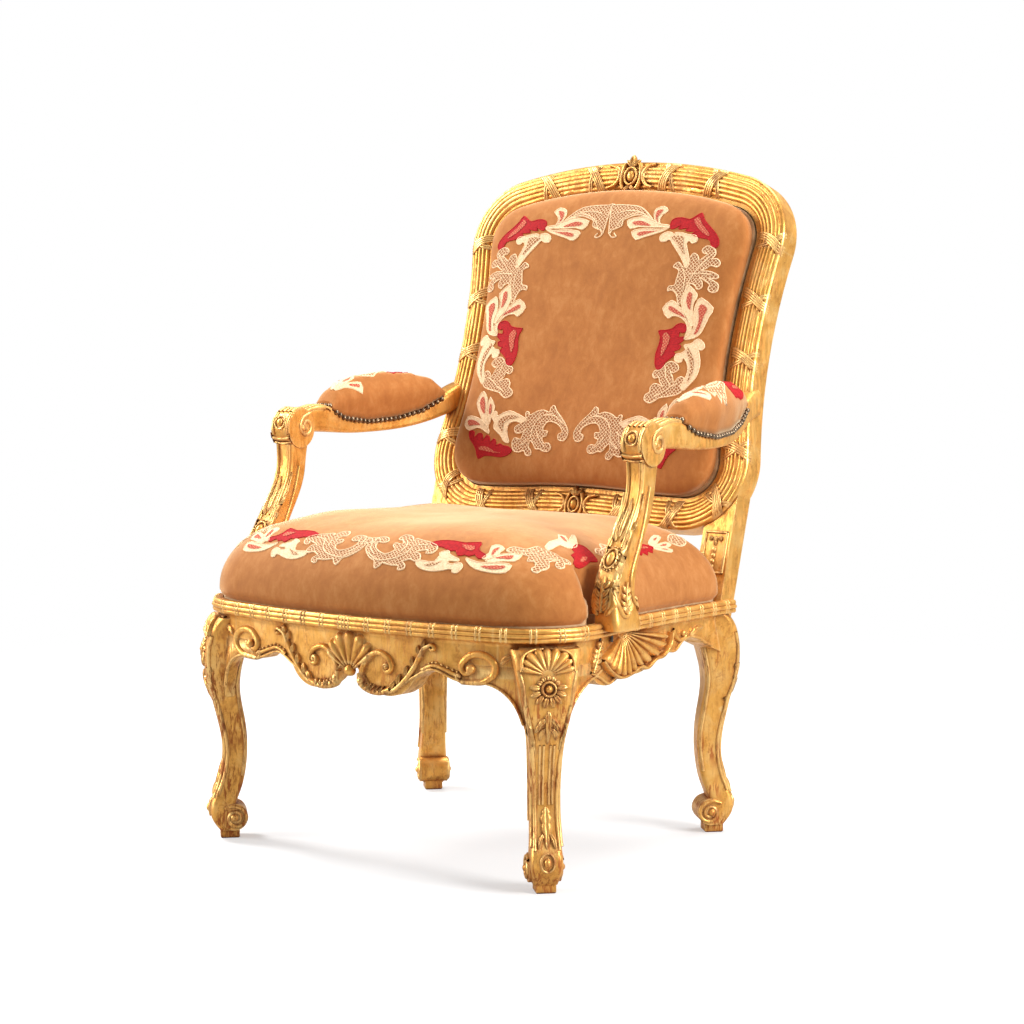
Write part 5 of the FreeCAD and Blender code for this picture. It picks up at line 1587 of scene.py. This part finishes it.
def lace_seat_sides(b):
    """From each front corner along the side, past the arm support."""
    b.red_leaf(
        [(466, 107), (479, 102), (478, 90), (474, 76), (468, 67), (451, 70), (435, 66), (417, 65),
         (404, 71), (418, 78), (421, 87), (438, 91), (442, 98)],
        [(441, 80), (454, 78), (439, 72), (424, 72)],
    )
    b.petal(
        [(377, 109), (398, 117), (420, 124), (452, 127), (470, 138), (478, 132), (465, 119), (499, 132),
         (497, 126), (480, 114), (459, 102), (435, 103), (429, 113), (403, 109)],
        [(465, 133), (469, 130), (457, 117), (455, 121)],
    )
    b.net_leaf(
        [(488, 82), (500, 92), (512, 88), (524, 100), (538, 94), (552, 100), (566, 90), (578, 84),
         (572, 76), (560, 78), (552, 70), (544, 78), (532, 80), (526, 70), (516, 72), (512, 80), (500, 76)],
    )
    b.cords([(496, 85), (520, 90), (548, 90), (570, 82)])
    b.red_leaf(
        [(584, 74), (594, 82), (606, 86), (622, 84), (640, 76), (632, 72), (626, 66), (616, 70), (608, 63),
         (600, 69), (592, 64)],
        [(602, 78), (614, 80), (626, 76), (614, 75)],
    )
    b.petal(
        [(636, 82), (652, 92), (674, 100), (684, 94), (668, 87), (652, 80)],
        [(658, 90), (674, 95), (664, 89)],
    )
    b.petal(
        [(638, 78), (656, 80), (682, 82), (690, 76), (676, 72), (654, 72)],
        [(660, 77), (680, 79), (674, 75)],
    )
    b.petal(
        [(638, 74), (654, 68), (674, 62), (682, 66), (668, 71), (652, 76)],
        [(658, 70), (674, 65), (664, 70)],
    )
    b.net_leaf([(692, 82), (702, 92), (714, 96), (728, 92), (736, 84), (728, 74), (716, 70), (704, 72)])


def lace_seat():
    # Across runs up the shoulder of the seat at half a right angle.
    def board(abh):
        side, x, y, ox, oy = LOOSE_SEAT.at(abh[:, 0])
        climb = math.sqrt(0.5) * abh[:, 1]
        flat = np.stack([side * (x - climb * ox), y - climb * oy], 1)
        return settle(np.column_stack([flat, LACE_FOOT + climb]))

    def throw(abh):
        side, _, _, ox, oy = LOOSE_SEAT.at(abh[:, 0])
        return np.column_stack([-side * ox, -oy, np.full(len(abh), -1.0)])

    b = Border("seat", Cast([SEAT], board, throw))
    lace_seat_front(b)
    lace_seat_corners(b)
    lace_seat_sides(b)
    b.finish()


def lace_arms():
    """On each arm pad: petals in front, netting, a red leaf behind. The right pad's are mirrored."""
    board = plane((0, 0, 0.72), (0, 1, 0), (1, 0, 0))
    b = Border("arm_pad_left", Cast([ARM_PADS["left"]], board, (0, 0, -1)), mirror=False)
    b.petal(
        [(48, 333), (60, 341), (78, 348), (98, 355), (106, 351), (94, 344), (78, 338), (62, 333)],
        [(74, 342), (90, 348), (99, 351), (88, 345), (76, 340)],
    )
    b.petal(
        [(50, 330), (66, 334), (88, 337), (104, 338), (101, 330), (86, 328), (66, 327)],
        [(72, 331), (90, 334), (99, 334), (88, 330)],
    )
    b.petal(
        [(50, 328), (66, 323), (84, 317), (100, 311), (105, 319), (90, 323), (70, 327)],
        [(78, 322), (96, 315), (99, 318), (84, 322)],
    )
    b.net_leaf(
        [(108, 346), (116, 353), (123, 349), (128, 357), (136, 351), (142, 358), (150, 351), (158, 344),
         (168, 337), (176, 331), (172, 321), (164, 326), (152, 325), (140, 321), (128, 326), (116, 330),
         (108, 338)],
    )
    b.cords(
        [(110, 341), (126, 340), (144, 338), (160, 333), (174, 327)],
        [(120, 335), (140, 331), (156, 331)],
    )
    b.red_leaf(
        [(180, 338), (190, 343), (200, 340), (214, 337), (230, 331), (247, 321), (234, 320), (222, 315),
         (214, 320), (204, 313), (196, 320), (186, 315), (180, 324)],
        [(196, 333), (210, 331), (225, 326), (210, 326)],
    )
    b.finish(other_side=True)


# Stage

AMBIENT = 0.36
FLOOR_REACH = 2.6
FLOOR_STEPS = 96
FLOOR_GLOW = 0.42
FLOOR_SEEN = (0.49, 0.50, 0.515)
FLOOR_BOUNCE = (0.45, 0.45, 0.45)
FADE_START = 0.8
FADE_END = 2.2
AIM = Vector((0, 0, 0.5))
# Soft lamps: name, place, power in watts, size and colour.
LAMPS = (
    ("left", (-2.7, -0.3, 2.6), 118, 0.9, (1.0, 0.99, 0.97)),
    ("overhead", (0.3, 1.1, 3.3), 95, 1.8, (1.0, 0.99, 0.97)),
    ("right", (3.3, 0.2, 1.9), 165, 1.6, (1.0, 0.99, 0.97)),
    ("front", (-2.9, -2.6, 1.6), 128, 2.2, (1.0, 0.98, 0.95)),
)


def build_world():
    """White to look at, dimmer as a light."""
    world = bpy.data.worlds.new("studio")
    bpy.context.scene.world = world
    world.use_nodes = True
    background = world.node_tree.nodes["Background"]
    background.inputs["Color"].default_value = (1, 1, 1, 1)
    g = Graph(world.node_tree, background)
    path = g.node("LightPath")
    seen = g.math("MAXIMUM", path.outputs["Is Camera Ray"], path.outputs["Is Transmission Ray"])
    g.feed("Strength", g.math("ADD", g.times(seen, 1 - AMBIENT), AMBIENT))


def build_floor():
    """A disc that takes the shadow and fades out into the white well away from the chair."""
    turns = [2 * math.pi * i / FLOOR_STEPS for i in range(FLOOR_STEPS)]
    rim = [(FLOOR_REACH * math.cos(turn), FLOOR_REACH * math.sin(turn), 0) for turn in turns]
    mesh = bpy.data.meshes.new("floor")
    mesh.from_pydata(rim, [], [tuple(range(FLOOR_STEPS))])
    floor = bpy.data.objects.new("floor", mesh)
    bpy.context.scene.collection.objects.link(floor)
    material, g = new_material("floor", {
        "Roughness": 0.9,
        "Specular IOR Level": 0.0,
        "Emission Color": (1, 1, 1, 1),
    })
    seen = g.node("LightPath").outputs["Is Camera Ray"]
    g.feed("Emission Strength", g.times(seen, FLOOR_GLOW))
    g.feed("Base Color", g.mix(seen, FLOOR_BOUNCE, FLOOR_SEEN))
    distance = g.node("VectorMath", operation="LENGTH")
    g.link(g.place(), distance.inputs[0])
    g.feed("Alpha", g.less(g.mask(distance.outputs["Value"], FADE_START, FADE_END)))
    mesh.materials.append(material)


def build_lamps():
    for name, position, power, size, colour in LAMPS:
        data = bpy.data.lights.new(name, "AREA")
        data.energy = power
        data.size = size
        data.color = colour
        lamp = bpy.data.objects.new(name, data)
        lamp.location = position
        lamp.rotation_euler = (AIM - Vector(position)).to_track_quat("-Z", "Y").to_euler()
        bpy.context.scene.collection.objects.link(lamp)


def build_stage():
    bpy.context.scene.view_settings.view_transform = "Standard"
    build_world()
    build_floor()
    build_lamps()


# Camera fitted to the photograph: angles, distance, shift to the right and up, focal length in pixels.
CAMERA_TURN = math.radians(36.506)
CAMERA_RISE = math.radians(5.333)
CAMERA_DISTANCE = 3.9035
CAMERA_RIGHT = 0.05324
CAMERA_UP = 0.00097
FOCAL_PIXELS = 2550
PICTURE_PIXELS = 1024
SENSOR = 36


def build_camera():
    level = math.cos(CAMERA_RISE)
    back = Vector((math.sin(CAMERA_TURN) * level, -math.cos(CAMERA_TURN) * level, math.sin(CAMERA_RISE)))
    right = Vector((math.cos(CAMERA_TURN), math.sin(CAMERA_TURN), 0))
    up = back.cross(right)
    data = bpy.data.cameras.new("camera")
    data.sensor_width = SENSOR
    data.lens = SENSOR * FOCAL_PIXELS / PICTURE_PIXELS
    camera = bpy.data.objects.new("camera", data)
    spot = Vector((0, -DEPTH, AIM.z)) + back * CAMERA_DISTANCE + right * CAMERA_RIGHT + up * CAMERA_UP
    turned = Matrix((right, up, back)).transposed().to_4x4()
    camera.matrix_world = Matrix.Translation(spot) @ turned
    bpy.context.scene.collection.objects.link(camera)
    bpy.context.scene.camera = camera


build_stage()
build_camera()
dress_nodes()
SEAT, BACK, ARM_PADS = build_upholstery()
carve_frame()
lace_back()
lace_seat()
lace_arms()
